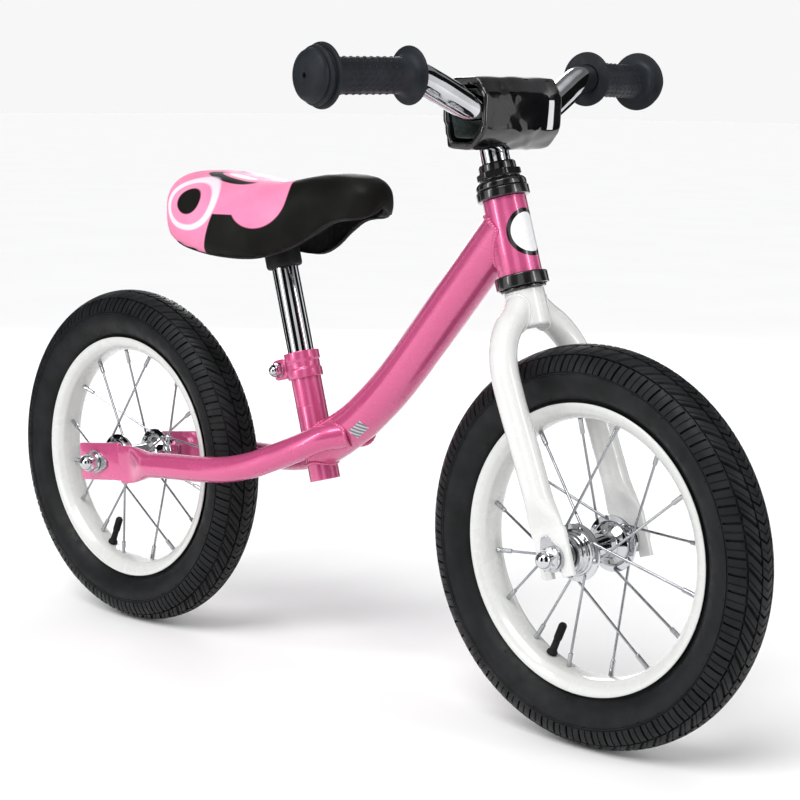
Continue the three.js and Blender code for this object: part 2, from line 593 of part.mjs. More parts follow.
const profileOf = (points) => {
  const curve = new THREE.SplineCurve(points.map(([x, value]) => new THREE.Vector2(x, value)));
  const samples = curve.getPoints(80);
  return (x) => {
    const next = Math.max(1, samples.findIndex((sample) => sample.x >= x));
    const [a, b] = next > 0 && samples[next] ? [samples[next - 1], samples[next]] : samples.slice(-2);
    return a.y + (b.y - a.y) * THREE.MathUtils.clamp((x - a.x) / (b.x - a.x), 0, 1);
  };
};

// Saddle outlines in its own frame, whose origin is the top of the post.
const SADDLE = { rear: -112, nose: 119 };
const saddleTop = profileOf([[-122, 66], [-100, 69], [-60, 67.5], [5, 61.5], [57, 69.5], [90, 71.5],
  [126, 66]]);
const saddleSkirt = profileOf([[-122, 22], [-100, 16], [-60, 6], [-27, 1.5], [10, 2], [35, 10], [60, 24],
  [80, 34], [126, 38]]);
const saddleHalf = profileOf([[-122, 56], [-90, 60.5], [-60, 59.5], [-27, 56.5], [7, 48.5], [35, 37.5],
  [60, 28.5], [90, 25], [126, 23.5]]);
const BASE_DEPTH = 6;

function saddle() {
  const cushion = saddleForm(SADDLE.rear, SADDLE.nose, (x) => ({
    half: saddleHalf(x), top: saddleTop(x), bottom: saddleSkirt(x) + BASE_DEPTH,
  }), 16, 16);
  const shell = saddleForm(SADDLE.rear + 6, SADDLE.nose - 6, (x) => ({
    half: saddleHalf(x) - 5, top: saddleSkirt(x) + BASE_DEPTH - 1, bottom: saddleSkirt(x),
  }), 12, 14);
  const socket = round(15, 14, [0, 0, -2], { upright: true, sides: 20 });
  const roomTop = POST_TOP - SADDLE_HEIGHT + GAP;
  const postRoom = round(POST_RADIUS + GAP, 30, [0, 0, roomTop - 15], { upright: true });
  const tilted = (body) => body.rotate([0, THREE.MathUtils.radToDeg(seatTilt), 0]);
  return group([0, 0, SADDLE_HEIGHT], -seatTilt, [
    piece('saddle_cushion', cushion, COVER),
    piece('saddle_base', cut(join([shell, tilted(socket)]), tilted(postRoom)), PLASTIC),
  ]);
}

function seatPost() {
  const insertion = 48;
  const tube = sleeve(POST_RADIUS - 1.5, POST_RADIUS, insertion, POST_TOP, { upright: true });
  return piece('seat_post', tube, CHROME);
}

// Assembly

const spokePhase = THREE.MathUtils.degToRad(100.5);
const steering = group([HEAD_BOTTOM.x, 0, HEAD_BOTTOM.z], headTilt, [
  headTube(), ...headsetCups(), forkCrown(), forkLeg('right'), forkLeg('left'), ...headsetRings(),
]);
const seat = group([SEAT_BASE.x, 0, SEAT_BASE.z], seatTilt, [
  seatTube(), seatCollar(), ...collarFasteners(), seatPost(), saddle(),
]);
const frontWheel = group([AXLE_X, 0, TYRE_RADIUS], 0, [
  ...wheel('front', spokePhase), ...axleSet('front', THREE.MathUtils.degToRad(120)),
]);
const rearWheel = group([-AXLE_X, 0, TYRE_RADIUS], 0, [
  ...wheel('rear', spokePhase), ...axleSet('rear', 0),
]);

const bike = new THREE.Group();
bike.add(mainTube(), stay('right'), stay('left'), steering, seat, frontWheel, rearWheel);
bike.add(...stemSet(), handlebar(), grip('right'), grip('left'), barPad());
export default bike;
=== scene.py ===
"""A child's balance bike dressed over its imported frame.

Shapes are drawn in millimetres in the frame's axes (+X forward, +Y to the rider's left, +Z up) and
scaled to metres when they become Blender objects.
"""
import json
import math

import bmesh
import bpy
import numpy as np
from mathutils import Matrix, Vector


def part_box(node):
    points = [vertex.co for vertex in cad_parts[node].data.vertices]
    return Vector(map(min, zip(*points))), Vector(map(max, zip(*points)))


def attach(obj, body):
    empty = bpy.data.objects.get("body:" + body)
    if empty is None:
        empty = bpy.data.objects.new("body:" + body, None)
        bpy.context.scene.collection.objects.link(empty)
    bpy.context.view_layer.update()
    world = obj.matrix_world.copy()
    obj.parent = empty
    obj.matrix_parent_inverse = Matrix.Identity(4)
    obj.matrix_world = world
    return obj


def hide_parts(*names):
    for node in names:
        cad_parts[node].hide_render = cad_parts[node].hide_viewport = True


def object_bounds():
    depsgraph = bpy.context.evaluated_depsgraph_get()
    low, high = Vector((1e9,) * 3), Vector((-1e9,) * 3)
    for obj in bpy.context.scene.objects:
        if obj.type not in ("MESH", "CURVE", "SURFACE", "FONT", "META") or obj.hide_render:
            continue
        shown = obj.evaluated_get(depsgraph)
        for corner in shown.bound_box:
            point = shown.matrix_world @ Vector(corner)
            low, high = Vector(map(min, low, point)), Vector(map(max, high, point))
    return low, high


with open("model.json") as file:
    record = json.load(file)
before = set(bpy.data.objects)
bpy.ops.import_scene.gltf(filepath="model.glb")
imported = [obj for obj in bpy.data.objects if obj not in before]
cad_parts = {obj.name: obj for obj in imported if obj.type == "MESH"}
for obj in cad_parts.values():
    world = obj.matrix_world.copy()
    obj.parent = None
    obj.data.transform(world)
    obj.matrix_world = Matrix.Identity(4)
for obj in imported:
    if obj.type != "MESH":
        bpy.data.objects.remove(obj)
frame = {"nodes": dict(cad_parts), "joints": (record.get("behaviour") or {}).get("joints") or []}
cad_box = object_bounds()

MM = 0.001
SIDES = {"right": -1, "left": 1}
joints = {joint["name"]: joint for joint in frame["joints"]}
axles = {prefix: np.array(joints[f"{prefix}_wheel_spin"]["pos_m"]) / MM for prefix in ("rear", "front")}


# ---------------------------------------------------------------- shapes: (points, faces) in millimetres

def grid(points, wrap_rows=False, wrap_columns=True):
    """Quads over an array of [rows, columns, 3] points."""
    rows, columns = points.shape[:2]
    index = np.arange(rows * columns).reshape(rows, columns)
    if wrap_rows:
        index = np.vstack([index, index[:1]])
    if wrap_columns:
        index = np.hstack([index, index[:, :1]])
    quads = np.stack([index[:-1, :-1], index[:-1, 1:], index[1:, 1:], index[1:, :-1]], -1)
    return points.reshape(-1, 3), quads.reshape(-1, 4).tolist()


def capped(points):
    """A tube of rings, closed by a flat face at each end."""
    flat, faces = grid(points)
    rows, columns = points.shape[:2]
    first = list(range(columns))
    return flat, faces + [first[::-1], [(rows - 1) * columns + i for i in first]]


def dished(points, rows=30):
    """A tube closed by a flat rear face and, at its front, by a hollow that many rows deep."""
    flat, faces = capped(points)
    last = faces.pop()
    centre = len(flat)
    fan = [[a, b, centre] for a, b in zip(last, last[1:] + last[:1])]
    return np.vstack([flat, points[-rows].mean(0)]), faces + fan


def merged(*shapes):
    """Several shapes as one."""
    points, faces, start = [], [], 0
    for shape_points, shape_faces in shapes:
        points.append(shape_points)
        faces += [[index + start for index in face] for face in shape_faces]
        start += len(shape_points)
    return np.vstack(points), faces


def rounded(corners, radius, closed=True, steps=4):
    """The outline with each corner turned into a curve that starts that far from it."""
    corners = [np.array(corner, float) for corner in corners]
    result = []
    for i, corner in enumerate(corners):
        if not closed and i in (0, len(corners) - 1):
            result.append(corner)
            continue
        before = corners[i - 1] - corner
        after = corners[(i + 1) % len(corners)] - corner
        lengths = np.linalg.norm(before), np.linalg.norm(after)
        reach = min(radius, 0.45 * lengths[0], 0.45 * lengths[1])
        start, end = corner + before * reach / lengths[0], corner + after * reach / lengths[1]
        for t in np.linspace(0, 1, steps):
            result.append((1 - t) ** 2 * start + 2 * t * (1 - t) * corner + t ** 2 * end)
    return np.array(result)


def lathe(profile, segments=96, closed=True, hexagon=None, gap=0.0):
    """A profile of [radius, height] corners turned about Z.

    hexagon limits the radius to that distance across its flats, and gap leaves that many degrees open
    on the -X side.
    """
    profile = np.array(profile, float)
    if gap:
        half = math.radians(180 - gap / 2)
        angle = np.linspace(-half, half, segments)
    else:
        angle = np.linspace(0, 2 * math.pi, segments, endpoint=False)
    radius = np.repeat(profile[:, :1], len(angle), 1)
    if hexagon:
        flat = hexagon / 2 / np.cos((angle + math.pi / 6) % (math.pi / 3) - math.pi / 6)
        radius = np.minimum(radius, flat)
    height = np.repeat(profile[:, 1:], len(angle), 1)
    points = np.stack([radius * np.cos(angle), radius * np.sin(angle), height], -1)
    shape = grid(points, wrap_rows=closed, wrap_columns=not gap)
    if gap:
        columns = len(angle)
        ends = [[row * columns + column for row in range(len(profile))] for column in (0, columns - 1)]
        shape = shape[0], shape[1] + [ends[0], ends[1][::-1]]
    return shape


def plate(outline, thickness, bevel):
    """A flat plate in X and Z, centred on Y, with its edges bevelled."""
    outline = np.array(outline, float)
    mesh = bmesh.new()
    rims = []
    for y in (-thickness / 2, thickness / 2):
        rims.append([mesh.verts.new((x, y, z)) for x, z in outline])
    mesh.faces.new(rims[0])
    mesh.faces.new(rims[1][::-1])
    count = len(outline)
    for i in range(count):
        j = (i + 1) % count
        mesh.faces.new((rims[0][j], rims[0][i], rims[1][i], rims[1][j]))
    rim_edges = [edge for edge in mesh.edges if edge.verts[0].co.y == edge.verts[1].co.y]
    bmesh.ops.bevel(mesh, geom=rim_edges, offset=bevel, segments=3, affect="EDGES", profile=0.5)
    mesh.verts.index_update()
    points = np.array([vertex.co[:] for vertex in mesh.verts])
    faces = [[vertex.index for vertex in face.verts] for face in mesh.faces]
    mesh.free()
    return points, faces


def unit(vectors):
    vectors = np.asarray(vectors, float)
    return vectors / np.linalg.norm(vectors, axis=-1, keepdims=True)


def smooth_route(points, count):
    """Evenly spaced points on the centripetal curve through these points."""
    points = np.array(points, float)
    points = np.vstack([2 * points[0] - points[1], points, 2 * points[-1] - points[-2]])
    dense = []
    for a, b, c, d in zip(points, points[1:], points[2:], points[3:]):
        gaps = [max(np.linalg.norm(q - p) ** 0.5, 1e-6) for p, q in ((a, b), (b, c), (c, d))]
        leave = ((b - a) / gaps[0] - (c - a) / (gaps[0] + gaps[1]) + (c - b) / gaps[1]) * gaps[1]
        arrive = ((c - b) / gaps[1] - (d - b) / (gaps[1] + gaps[2]) + (d - c) / gaps[2]) * gaps[1]
        t = np.linspace(0, 1, 40, endpoint=False)[:, None]
        dense.append(b + leave * t + (3 * (c - b) - 2 * leave - arrive) * t ** 2
                     + (2 * (b - c) + leave + arrive) * t ** 3)
    return resampled(np.vstack(dense + [points[-2:-1]]), count)


def resampled(route, count, closed=False):
    """Evenly spaced points along a route of closely spaced ones."""
    if closed:
        route = np.vstack([route, route[:1]])
    along = np.concatenate([[0], np.cumsum(np.linalg.norm(np.diff(route, axis=0), axis=1))])
    wanted = np.linspace(0, along[-1], count, endpoint=not closed)
    return np.stack([np.interp(wanted, along, route[:, axis]) for axis in range(route.shape[1])], -1)


def skin(route, wide, deep=None, reference=(0, 1, 0), sides=40, closed=False, squareness=1.0):
    """Rings of points round a route. deep is the half size towards the reference direction."""
    route = np.asarray(route, float)
    if closed:
        ahead = unit(np.roll(route, -1, 0) - np.roll(route, 1, 0))
    else:
        ahead = unit(np.gradient(route, axis=0))
    reference = np.broadcast_to(np.asarray(reference, float), route.shape)
    inwards = unit(reference - ahead * np.sum(ahead * reference, -1, keepdims=True))
    across = np.cross(ahead, inwards)
    deep = wide if deep is None else deep
    wide, deep, squareness = (np.broadcast_to(np.asarray(value, float), len(route))[:, None]
                              for value in (wide, deep, squareness))
    angle = np.linspace(0, 2 * math.pi, sides, endpoint=False)[None, :]
    cosine, sine = np.cos(angle), np.sin(angle)
    towards = np.sign(cosine) * np.abs(cosine) ** squareness * deep
    sideways = np.sign(sine) * np.abs(sine) ** squareness * wide
    return (route[:, None] + towards[..., None] * inwards[:, None]
            + sideways[..., None] * across[:, None])


def crossing(points, distance):
    """For each column of a tube's rings, the row, as a fraction, where distance first turns negative."""
    values = distance(points)
    rows = []
    for column in values.T:
        inside = np.flatnonzero(column < 0)
        if not len(inside) or inside[0] == 0:
            rows.append(0.0 if len(inside) else len(column) - 1.0)
            continue
        row = inside[0]
        rows.append(row - 1 + column[row - 1] / (column[row - 1] - column[row]))
    return np.array(rows)


def at_rows(points, rows):
    """The points of each column at that fractional row."""
    low = np.clip(np.floor(rows).astype(int), 0, len(points) - 2)
    part = (rows - low)[..., None]
    columns = np.broadcast_to(np.arange(points.shape[1]), low.shape)
    return points[low, columns] * (1 - part) + points[low + 1, columns] * part


def mitred(points, distance, overlap=0.6):
    """A tube's rings cut back to where they meet another body, and that seam as a loop."""
    rows = crossing(points, distance)
    spacing = np.linalg.norm(points[1] - points[0], axis=-1).mean()
    ends = np.minimum(rows + overlap / spacing, len(points) - 1)
    shares = np.linspace(0, 1, len(points))[:, None]
    return at_rows(points, shares * ends[None, :]), at_rows(points, rows)


def weld(loop, radius=1.7, pitch=2.6):
    """A bead of overlapping scales along a closed seam."""
    length = np.linalg.norm(np.roll(loop, -1, 0) - loop, axis=1).sum()
    scales = max(8, round(length / pitch))
    route = resampled(loop, scales * 8, closed=True)
    phase = np.linspace(0, scales, len(route), endpoint=False) % 1
    thickness = radius * (0.78 + 0.22 * np.sin(np.pi * phase) ** 0.7 + 0.06 * (1 - phase))
    centre = route.mean(0)
    return grid(skin(route, thickness, reference=unit(route - centre), sides=12, closed=True),
                wrap_rows=True)


def leaning(origin, angle):
    """Places a shape drawn in axes that lean back by angle about Y, with their origin there."""
    c, s = math.cos(angle), math.sin(angle)
    turn = np.array([[c, 0, -s], [0, 1, 0], [s, 0, c]])

    def place(shape):
        if isinstance(shape, tuple):
            return shape[0] @ turn.T + origin, shape[1]
        return np.asarray(shape, float) @ turn.T + origin
    return place


def moved(shape, offset):
    return shape[0] + np.asarray(offset, float), shape[1]


def aimed(shape, origin, direction):
    """Turns a shape's Z towards a direction and puts its origin there."""
    turn = np.array(Vector((0, 0, 1)).rotation_difference(Vector(direction)).to_matrix())
    return shape[0] @ turn.T + np.asarray(origin, float), shape[1]


def on_axle(shape, centre, side=1):
    """Turns a shape's Z outwards along the axle."""
    x, y, z = shape[0].T
    return np.stack([x, side * z, -side * y], -1) + centre, shape[1]


# ---------------------------------------------------------------- materials

class Field:
    """A number that varies over a surface, worked out by math nodes."""

    def __init__(self, tree, socket):
        self.tree, self.socket = tree, socket

    def math(self, operation, *others):
        node = self.tree.nodes.new("ShaderNodeMath")
        node.operation = operation
        for socket, value in zip(node.inputs, (self, *others)):
            if isinstance(value, Field):
                self.tree.links.new(value.socket, socket)
            else:
                socket.default_value = value
        return Field(self.tree, node.outputs[0])

    def __add__(self, other): return self.math("ADD", other)
    def __sub__(self, other): return self.math("SUBTRACT", other)
    def __mul__(self, other): return self.math("MULTIPLY", other)
    def __truediv__(self, other): return self.math("DIVIDE", other)
    def size(self): return self.math("ABSOLUTE")
    def both(self, other): return self.math("MINIMUM", other)
    def either(self, other): return self.math("MAXIMUM", other)

    def outside(self): return (self * -1.0) + 1.0

    def step(self, low, high, start=0.0, end=1.0):
        node = self.tree.nodes.new("ShaderNodeMapRange")
        node.interpolation_type = "SMOOTHSTEP"
        self.tree.links.new(self.socket, node.inputs["Value"])
        for name, value in (("From Min", low), ("From Max", high), ("To Min", start), ("To Max", end)):
            node.inputs[name].default_value = value
        return Field(self.tree, node.outputs["Result"])


class Surface:
    """A Principled material whose colour, roughness and relief come from procedural textures."""

    def __init__(self, name, **constants):
        self.material = bpy.data.materials.new(name)
        self.material.use_nodes = True
        self.tree = self.material.node_tree
        self.shader = self.tree.nodes["Principled BSDF"]
        for socket, value in constants.items():
            self.shader.inputs[socket.replace("_", " ")].default_value = value
        self.coordinates = self.tree.nodes.new("ShaderNodeTexCoord").outputs["Object"]
        self.normal = None

    def axis(self, name):
        """The position along one axis, in millimetres."""
        split = self.tree.nodes.new("ShaderNodeSeparateXYZ")
        self.tree.links.new(self.coordinates, split.inputs[0])
        return Field(self.tree, split.outputs[name]) * 1000.0

    def noise(self, scale, detail=3.0, stretch=(1, 1, 1)):
        mapping = self.tree.nodes.new("ShaderNodeMapping")
        mapping.inputs["Scale"].default_value = stretch
        texture = self.tree.nodes.new("ShaderNodeTexNoise")
        texture.inputs["Scale"].default_value = scale
        texture.inputs["Detail"].default_value = detail
        self.tree.links.new(self.coordinates, mapping.inputs["Vector"])
        self.tree.links.new(mapping.outputs["Vector"], texture.inputs["Vector"])
        return Field(self.tree, texture.outputs["Fac"])

    def cells(self, scale):
        texture = self.tree.nodes.new("ShaderNodeTexVoronoi")
        texture.inputs["Scale"].default_value = scale
        self.tree.links.new(self.coordinates, texture.inputs["Vector"])
        return Field(self.tree, texture.outputs["Distance"])

    def mix(self, factor, first, second):
        """A colour between two, each a colour or another mix."""
        node = self.tree.nodes.new("ShaderNodeMix")
        node.data_type = "RGBA"
        self.tree.links.new(factor.socket, node.inputs["Factor"])
        for socket, colour in ((node.inputs[6], first), (node.inputs[7], second)):
            if isinstance(colour, bpy.types.NodeSocket):
                self.tree.links.new(colour, socket)
            else:
                socket.default_value = (*colour, 1)
        return node.outputs[2]

    def colour(self, socket):
        self.tree.links.new(socket, self.shader.inputs["Base Color"])
        return self

    def clouds(self, noise, dark, light, low=0.3, high=0.7):
        """Colour that clouds over between two, by noise of a scale and detail."""
        return self.colour(self.mix(self.noise(*noise).step(low, high), dark, light))

    def gloss(self, noise, smooth, rough, low=0.3, high=0.7):
        """Roughness that clouds over between two values."""
        field = self.noise(*noise).step(low, high, smooth, rough)
        self.tree.links.new(field.socket, self.shader.inputs["Roughness"])
        return self

    def relief(self, field, strength, distance):
        node = self.tree.nodes.new("ShaderNodeBump")
        node.inputs["Strength"].default_value = strength
        node.inputs["Distance"].default_value = distance
        self.tree.links.new(field.socket, node.inputs["Height"])
        if self.normal:
            self.tree.links.new(self.normal, node.inputs["Normal"])
        self.normal = node.outputs["Normal"]
        self.tree.links.new(self.normal, self.shader.inputs["Normal"])
        return self


def paint(name, dark, light, metallic=0.0, flake=0.0):
    """Gloss paint: cloudy colour, orange peel, and fine metal flake where it has any."""
    look = Surface(name, Metallic=metallic, Coat_Weight=0.8, Coat_Roughness=0.04, Specular_IOR_Level=0.5)
    clouds = look.noise(7, 2)
    sparkle = look.cells(2600).step(0.1, 0.6)
    look.colour(look.mix(clouds.step(0.2, 0.8) * 0.35 + sparkle * flake + 0.2, dark, light))
    look.gloss((60, 3), 0.2, 0.32, 0.2, 0.8)
    look.relief(look.noise(420, 2), 0.03, 0.0004)
    return look.material


def metal(name, dark, light, rough, grain=(1, 1, 1), scratch=0.05):
    """Plated or bare metal with faint clouds, drawn grain and fine scratches."""
    look = Surface(name, Metallic=1.0)
    look.clouds((30, 3), dark, light).gloss((90, 4), *rough, 0.25, 0.75)
    look.relief(look.noise(900, 2, grain), scratch, 0.0002)
    return look.material


def rubber(name, dark, light, rough=(0.5, 0.7), grain=1500, strength=0.15):
    """Rubber or moulded plastic with a fine cellular grain."""
    look = Surface(name, Specular_IOR_Level=0.22)
    look.clouds((45, 4), dark, light, high=0.75).gloss((120, 3), *rough)
    look.relief(look.cells(grain), strength, 0.0003)
    return look.material


def ellipse(across, up, centre, radii, soft=0.05):
    """1 inside an ellipse drawn over two fields, 0 outside."""
    a = (across - centre[0]) / radii[0]
    b = (up - centre[1]) / radii[1]
    return (a * a + b * b).math("SQRT").step(1 - soft, 1 + soft, 1.0, 0.0)


PINK = paint("frame_pink", (0.56, 0.07, 0.21), (0.74, 0.13, 0.31), metallic=0.35, flake=0.06)
WHITE = paint("fork_white", (0.68, 0.68, 0.67), (0.72, 0.72, 0.71))
RIM_WHITE = paint("rim_white", (0.61, 0.62, 0.60), (0.65, 0.65, 0.63))
BLACK = paint("headset_black", (0.003, 0.003, 0.003), (0.008, 0.008, 0.009))
CHROME = metal("chrome_plate", (0.50, 0.51, 0.53), (0.68, 0.69, 0.71), (0.03, 0.08), scratch=0.03)
ZINC = metal("zinc_plate", (0.34, 0.35, 0.37), (0.54, 0.55, 0.56), (0.20, 0.36), (1, 1, 6), 0.15)
SPOKE_STEEL = metal("spoke_steel", (0.26, 0.27, 0.29), (0.44, 0.45, 0.47), (0.15, 0.3), scratch=0.05)
TYRE = rubber("tyre_rubber", (0.004, 0.0045, 0.005), (0.010, 0.0105, 0.012), (0.42, 0.6))
VALVE = rubber("valve_rubber", (0.006, 0.006, 0.006), (0.012, 0.012, 0.012))
GRIP = rubber("grip_rubber", (0.007, 0.009, 0.012), (0.014, 0.017, 0.022), (0.42, 0.6), 1100, 0.25)
PLASTIC = rubber("saddle_plastic", (0.005, 0.005, 0.005), (0.012, 0.012, 0.012), (0.45, 0.65), 700, 0.5)
BADGE_WHITE = paint("badge_white", (0.74, 0.74, 0.76), (0.84, 0.84, 0.86))


# ---------------------------------------------------------------- pieces

def linked(name, data):
    """An object of a mesh, light or camera, in the scene."""
    made = bpy.data.objects.new(name, data)
    bpy.context.scene.collection.objects.link(made)
    return made


def mesh_of(name, shape, *materials):
    """A mesh in metres of a shape in millimetres."""
    mesh = bpy.data.meshes.new(name)
    mesh.from_pydata((np.asarray(shape[0]) * MM).tolist(), [], shape[1])
    for material in materials:
        mesh.materials.append(material)
    return mesh


def shaded(mesh, sharp=35):
    """Smooth shading, with edges over that many degrees left sharp."""
    mesh.shade_smooth()
    mesh.set_sharp_from_angle(angle=math.radians(sharp))


def baked(made):
    """Applies an object's modifiers to its mesh."""
    shaped = made.evaluated_get(bpy.context.evaluated_depsgraph_get())
    mesh = bpy.data.meshes.new_from_object(shaped)
    made.modifiers.clear()
    made.data = mesh
    return mesh


def piece(name, shape, material, body, replaces=(), sharp=35):
    """Makes an object of a shape, merges its doubled points, and hangs it on a body of the frame."""
    mesh = mesh_of(name, shape, material)
    work = bmesh.new()
    work.from_mesh(mesh)
    bmesh.ops.remove_doubles(work, verts=work.verts, dist=2e-6)
    bmesh.ops.recalc_face_normals(work, faces=work.faces)
    work.to_mesh(mesh)
    work.free()
    shaded(mesh, sharp)
    made = linked(name, mesh)
    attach(made, body)
    if replaces:
        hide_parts(*replaces)
    return made


def bored(made, shape):
    """Cuts a closed shape out of a piece."""
    cutter = linked("cutter", mesh_of("cutter", shape))
    cut = made.modifiers.new("bore", "BOOLEAN")
    cut.operation, cut.solver, cut.object = "DIFFERENCE", "EXACT", cutter
    shaded(baked(made))
    bpy.data.objects.remove(cutter)


# Wheels

TYRE_CENTRE, TYRE_SECTION = 127.5, 22.5
TREAD_PITCHES, TREAD_EDGE = 72, TYRE_SECTION * math.radians(79)
CENTRE_BAND, MIDDLE_BAND = 6.2, 17.5
GROOVE_DEPTH, TRENCH_DEPTH, SIPE_DEPTH = 2.0, 2.1, 0.8
SPOKES_PER_SIDE = 8
HUB_HOLE_RADIUS, RIM_SPOKE_RADIUS, FLANGE_Y = 18.2, 94.7, 21.4
SPOKE_RADIUS, SPOKE_ELBOW = 1.0, 1.9
FIRST_SPOKE = math.radians(100.5)


def tyre_shape():
    """Tyre with a directional block tread: bands of slanted blocks between round grooves."""
    bands = [(0, CENTRE_BAND, 0.0), (CENTRE_BAND, MIDDLE_BAND, 0.5), (MIDDLE_BAND, TREAD_EDGE, 0.0)]
    columns = np.array([0, 0.02, 0.13, 0.15, 0.32, 0.5, 0.52, 0.59, 0.61, 0.8])
    half = [0.0, 2.0, 4.0]
    for low, high, _ in bands[1:]:
        half += [low - 0.75, low - 0.48, low + 0.48, low + 0.75]
        half += list(np.linspace(low + 1.6, high - 1.6, 6))
    half += [TREAD_EDGE - 0.4, TREAD_EDGE]
    wall = (80.5, 82, 82.8, 84, 84.8, 88, 96, 104, 112, 120, 128, 134, 140, 145)
    half += [TYRE_SECTION * math.radians(a) for a in wall]
    half = np.array(sorted(half))
    across = np.concatenate([-half[:0:-1], half])
    size = np.abs(across)

    phase = (np.arange(TREAD_PITCHES)[:, None] + columns[None, :]).ravel() / TREAD_PITCHES
    lean = np.interp(size, [0, CENTRE_BAND, MIDDLE_BAND, 31, 50, 60], [0, 4.5, 17, 19.5, 0, 0])
    lean = lean / TYRE_CENTRE / 1.15
    angle = 2 * math.pi * phase[None, :] + lean[:, None]

    depth = np.zeros((len(across), len(phase)))
    share = np.tile(columns, TREAD_PITCHES)
    for low, high, shift in bands:
        inside = (size > low + 0.5) & (size < high - 0.3) if low else size < high - 0.5
        local = (share - shift) % 1
        trench = (local >= 0.019) & (local <= 0.131)
        sipe = (local >= 0.519) & (local <= 0.591)
        depth[np.ix_(inside, trench)] = TRENCH_DEPTH
        depth[np.ix_(inside, sipe)] = SIPE_DEPTH
    for low, _, _ in bands[1:]:
        depth[np.abs(size - low) < 0.5] = GROOVE_DEPTH
    lowered = np.interp(size, [0, TREAD_EDGE, TYRE_SECTION * math.radians(80.5)], [0, 0, 0.9])
    rib = 0.7 * ((size > TYRE_SECTION * math.radians(82.3)) & (size < TYRE_SECTION * math.radians(84.5)))
    section = TYRE_SECTION - depth - (lowered - rib)[:, None]
    turn = across / TYRE_SECTION
    radius = TYRE_CENTRE + section * np.cos(turn)[:, None]
    side = section * np.sin(turn)[:, None]
    outer = np.stack([radius * np.cos(angle), side, radius * np.sin(angle)], -1)
    bead = []
    for bead_radius, bead_y in ((105, 11), (105, 8.5), (128, 2), (105, -8.5), (105, -11)):
        flat = angle[-1]
        bead.append(np.stack([bead_radius * np.cos(flat), np.full_like(flat, bead_y),
                              bead_radius * np.sin(flat)], -1))
    return grid(np.concatenate([outer, np.array(bead)]), wrap_rows=True)


def hair_shapes():
    """Moulding hairs left on the tyre's shoulders and by the rim."""
    rng = np.random.default_rng(4)
    shapes = []
    for turn, count in ((math.radians(86), 18), (math.radians(132), 9)):
        for side in (-1, 1):
            for i in range(count):
                angle = 2 * math.pi * (i + rng.uniform(0.1, 0.9)) / count
                radius = TYRE_CENTRE + (TYRE_SECTION - 1) * math.cos(turn)
                y = side * (TYRE_SECTION - 1) * math.sin(turn)
                out = np.array([math.cos(angle) * math.cos(turn), side * math.sin(turn),
                                math.sin(angle) * math.cos(turn)])
                start = np.array([radius * math.cos(angle), y, radius * math.sin(angle)])
                bend = rng.normal(0, 0.5, 3)
                route = smooth_route([start, start + out * 1.6, start + out * 3 + bend], 5)
                shapes.append(capped(skin(route, np.linspace(0.3, 0.14, 5), sides=6,
                                          reference=(0.3, 0.2, 0.9))))
    return merged(*shapes)


def rim_shape():
    half = [(95.6, 0), (96.0, 5), (97.2, 9.5), (101, 13.4), (104.5, 15.0), (107.2, 15.3), (108.4, 14.9),
            (108.3, 13.9), (106.8, 13.2), (103.5, 12.4), (99.2, 8.8), (97.4, 0)]
    loop = half + [(radius, -y) for radius, y in half[-2:0:-1]]
    return on_axle(lathe(rounded(loop, 1.2, steps=3), 192), (0, 0, 0))


def spoke_lines(side):
    """The hub hole, hub face, and rim end of every spoke on one side."""
    pitch = 2 * math.pi / SPOKES_PER_SIDE
    crossing_angle = FIRST_SPOKE + (math.pi / SPOKES_PER_SIDE if side > 0 else 0)
    for i in range(SPOKES_PER_SIDE):
        lean = 0.5 if i % 2 == 0 else -0.5
        middle = crossing_angle + (i // 2) * 2 * pitch
        inner, outer = middle - lean * pitch, middle + lean * pitch
        hole = np.array([HUB_HOLE_RADIUS * math.cos(inner), side * FLANGE_Y,
                         HUB_HOLE_RADIUS * math.sin(inner)])
        end = np.array([RIM_SPOKE_RADIUS * math.cos(outer), side * 1.5, RIM_SPOKE_RADIUS * math.sin(outer)])
        yield hole, -side * math.copysign(1, lean), end


def spoke_shapes(side):
    head = lathe([(0, -1.1), (1.1, -1.0), (1.8, -0.4), (1.9, 0.1), (1.0, 0.5), (0, 0.6)], 16)
    nipple = lathe(rounded([(1.0, 0), (1.7, 0.3), (1.8, 1.4), (1.8, 8.6), (2.6, 10), (2.6, 12.4),
                            (0.4, 12.4), (0.4, 0)], 0.3, steps=3), 16, hexagon=3.5)
    wires, nipples = [], []
    for hole, face, end in spoke_lines(side):
        outwards = np.array([0, face, 0])
        knee = hole + outwards * SPOKE_ELBOW
        run = end - knee
        ahead = unit(run)
        route = smooth_route([hole - outwards * 1.6, hole, knee + ahead * 1.2, knee + ahead * 6,
                              knee + ahead * (np.linalg.norm(run) - 8)], 40)
        wires.append(capped(skin(route, SPOKE_RADIUS, reference=unit(np.cross(ahead, outwards)),
                                 sides=12)))
        wires.append(aimed(head, hole - outwards * 1.7, outwards))
        nipples.append(aimed(nipple, end - ahead * 11.6, ahead))
    return merged(*wires), merged(*nipples)


def hub_shape():
    half = [(9.9, 0), (10.1, 8), (11.2, 13.2), (14.8, 16.2), (16.8, 18.2), (17.1, 20.4), (21.5, 20.4),
            (21.5, 22.4), (17.4, 22.4), (17.0, 24.4), (15.7, 25.0), (15.7, 27.6), (14.8, 28.2),
            (14.8, 31.4), (14.0, 32), (14.0, 35), (11.7, 35), (11.5, 28), (6, 26.8)]
    loop = half + [(radius, -y) for radius, y in half[:0:-1]]
    return on_axle(lathe(rounded(loop, 0.5, steps=3), 96), (0, 0, 0))


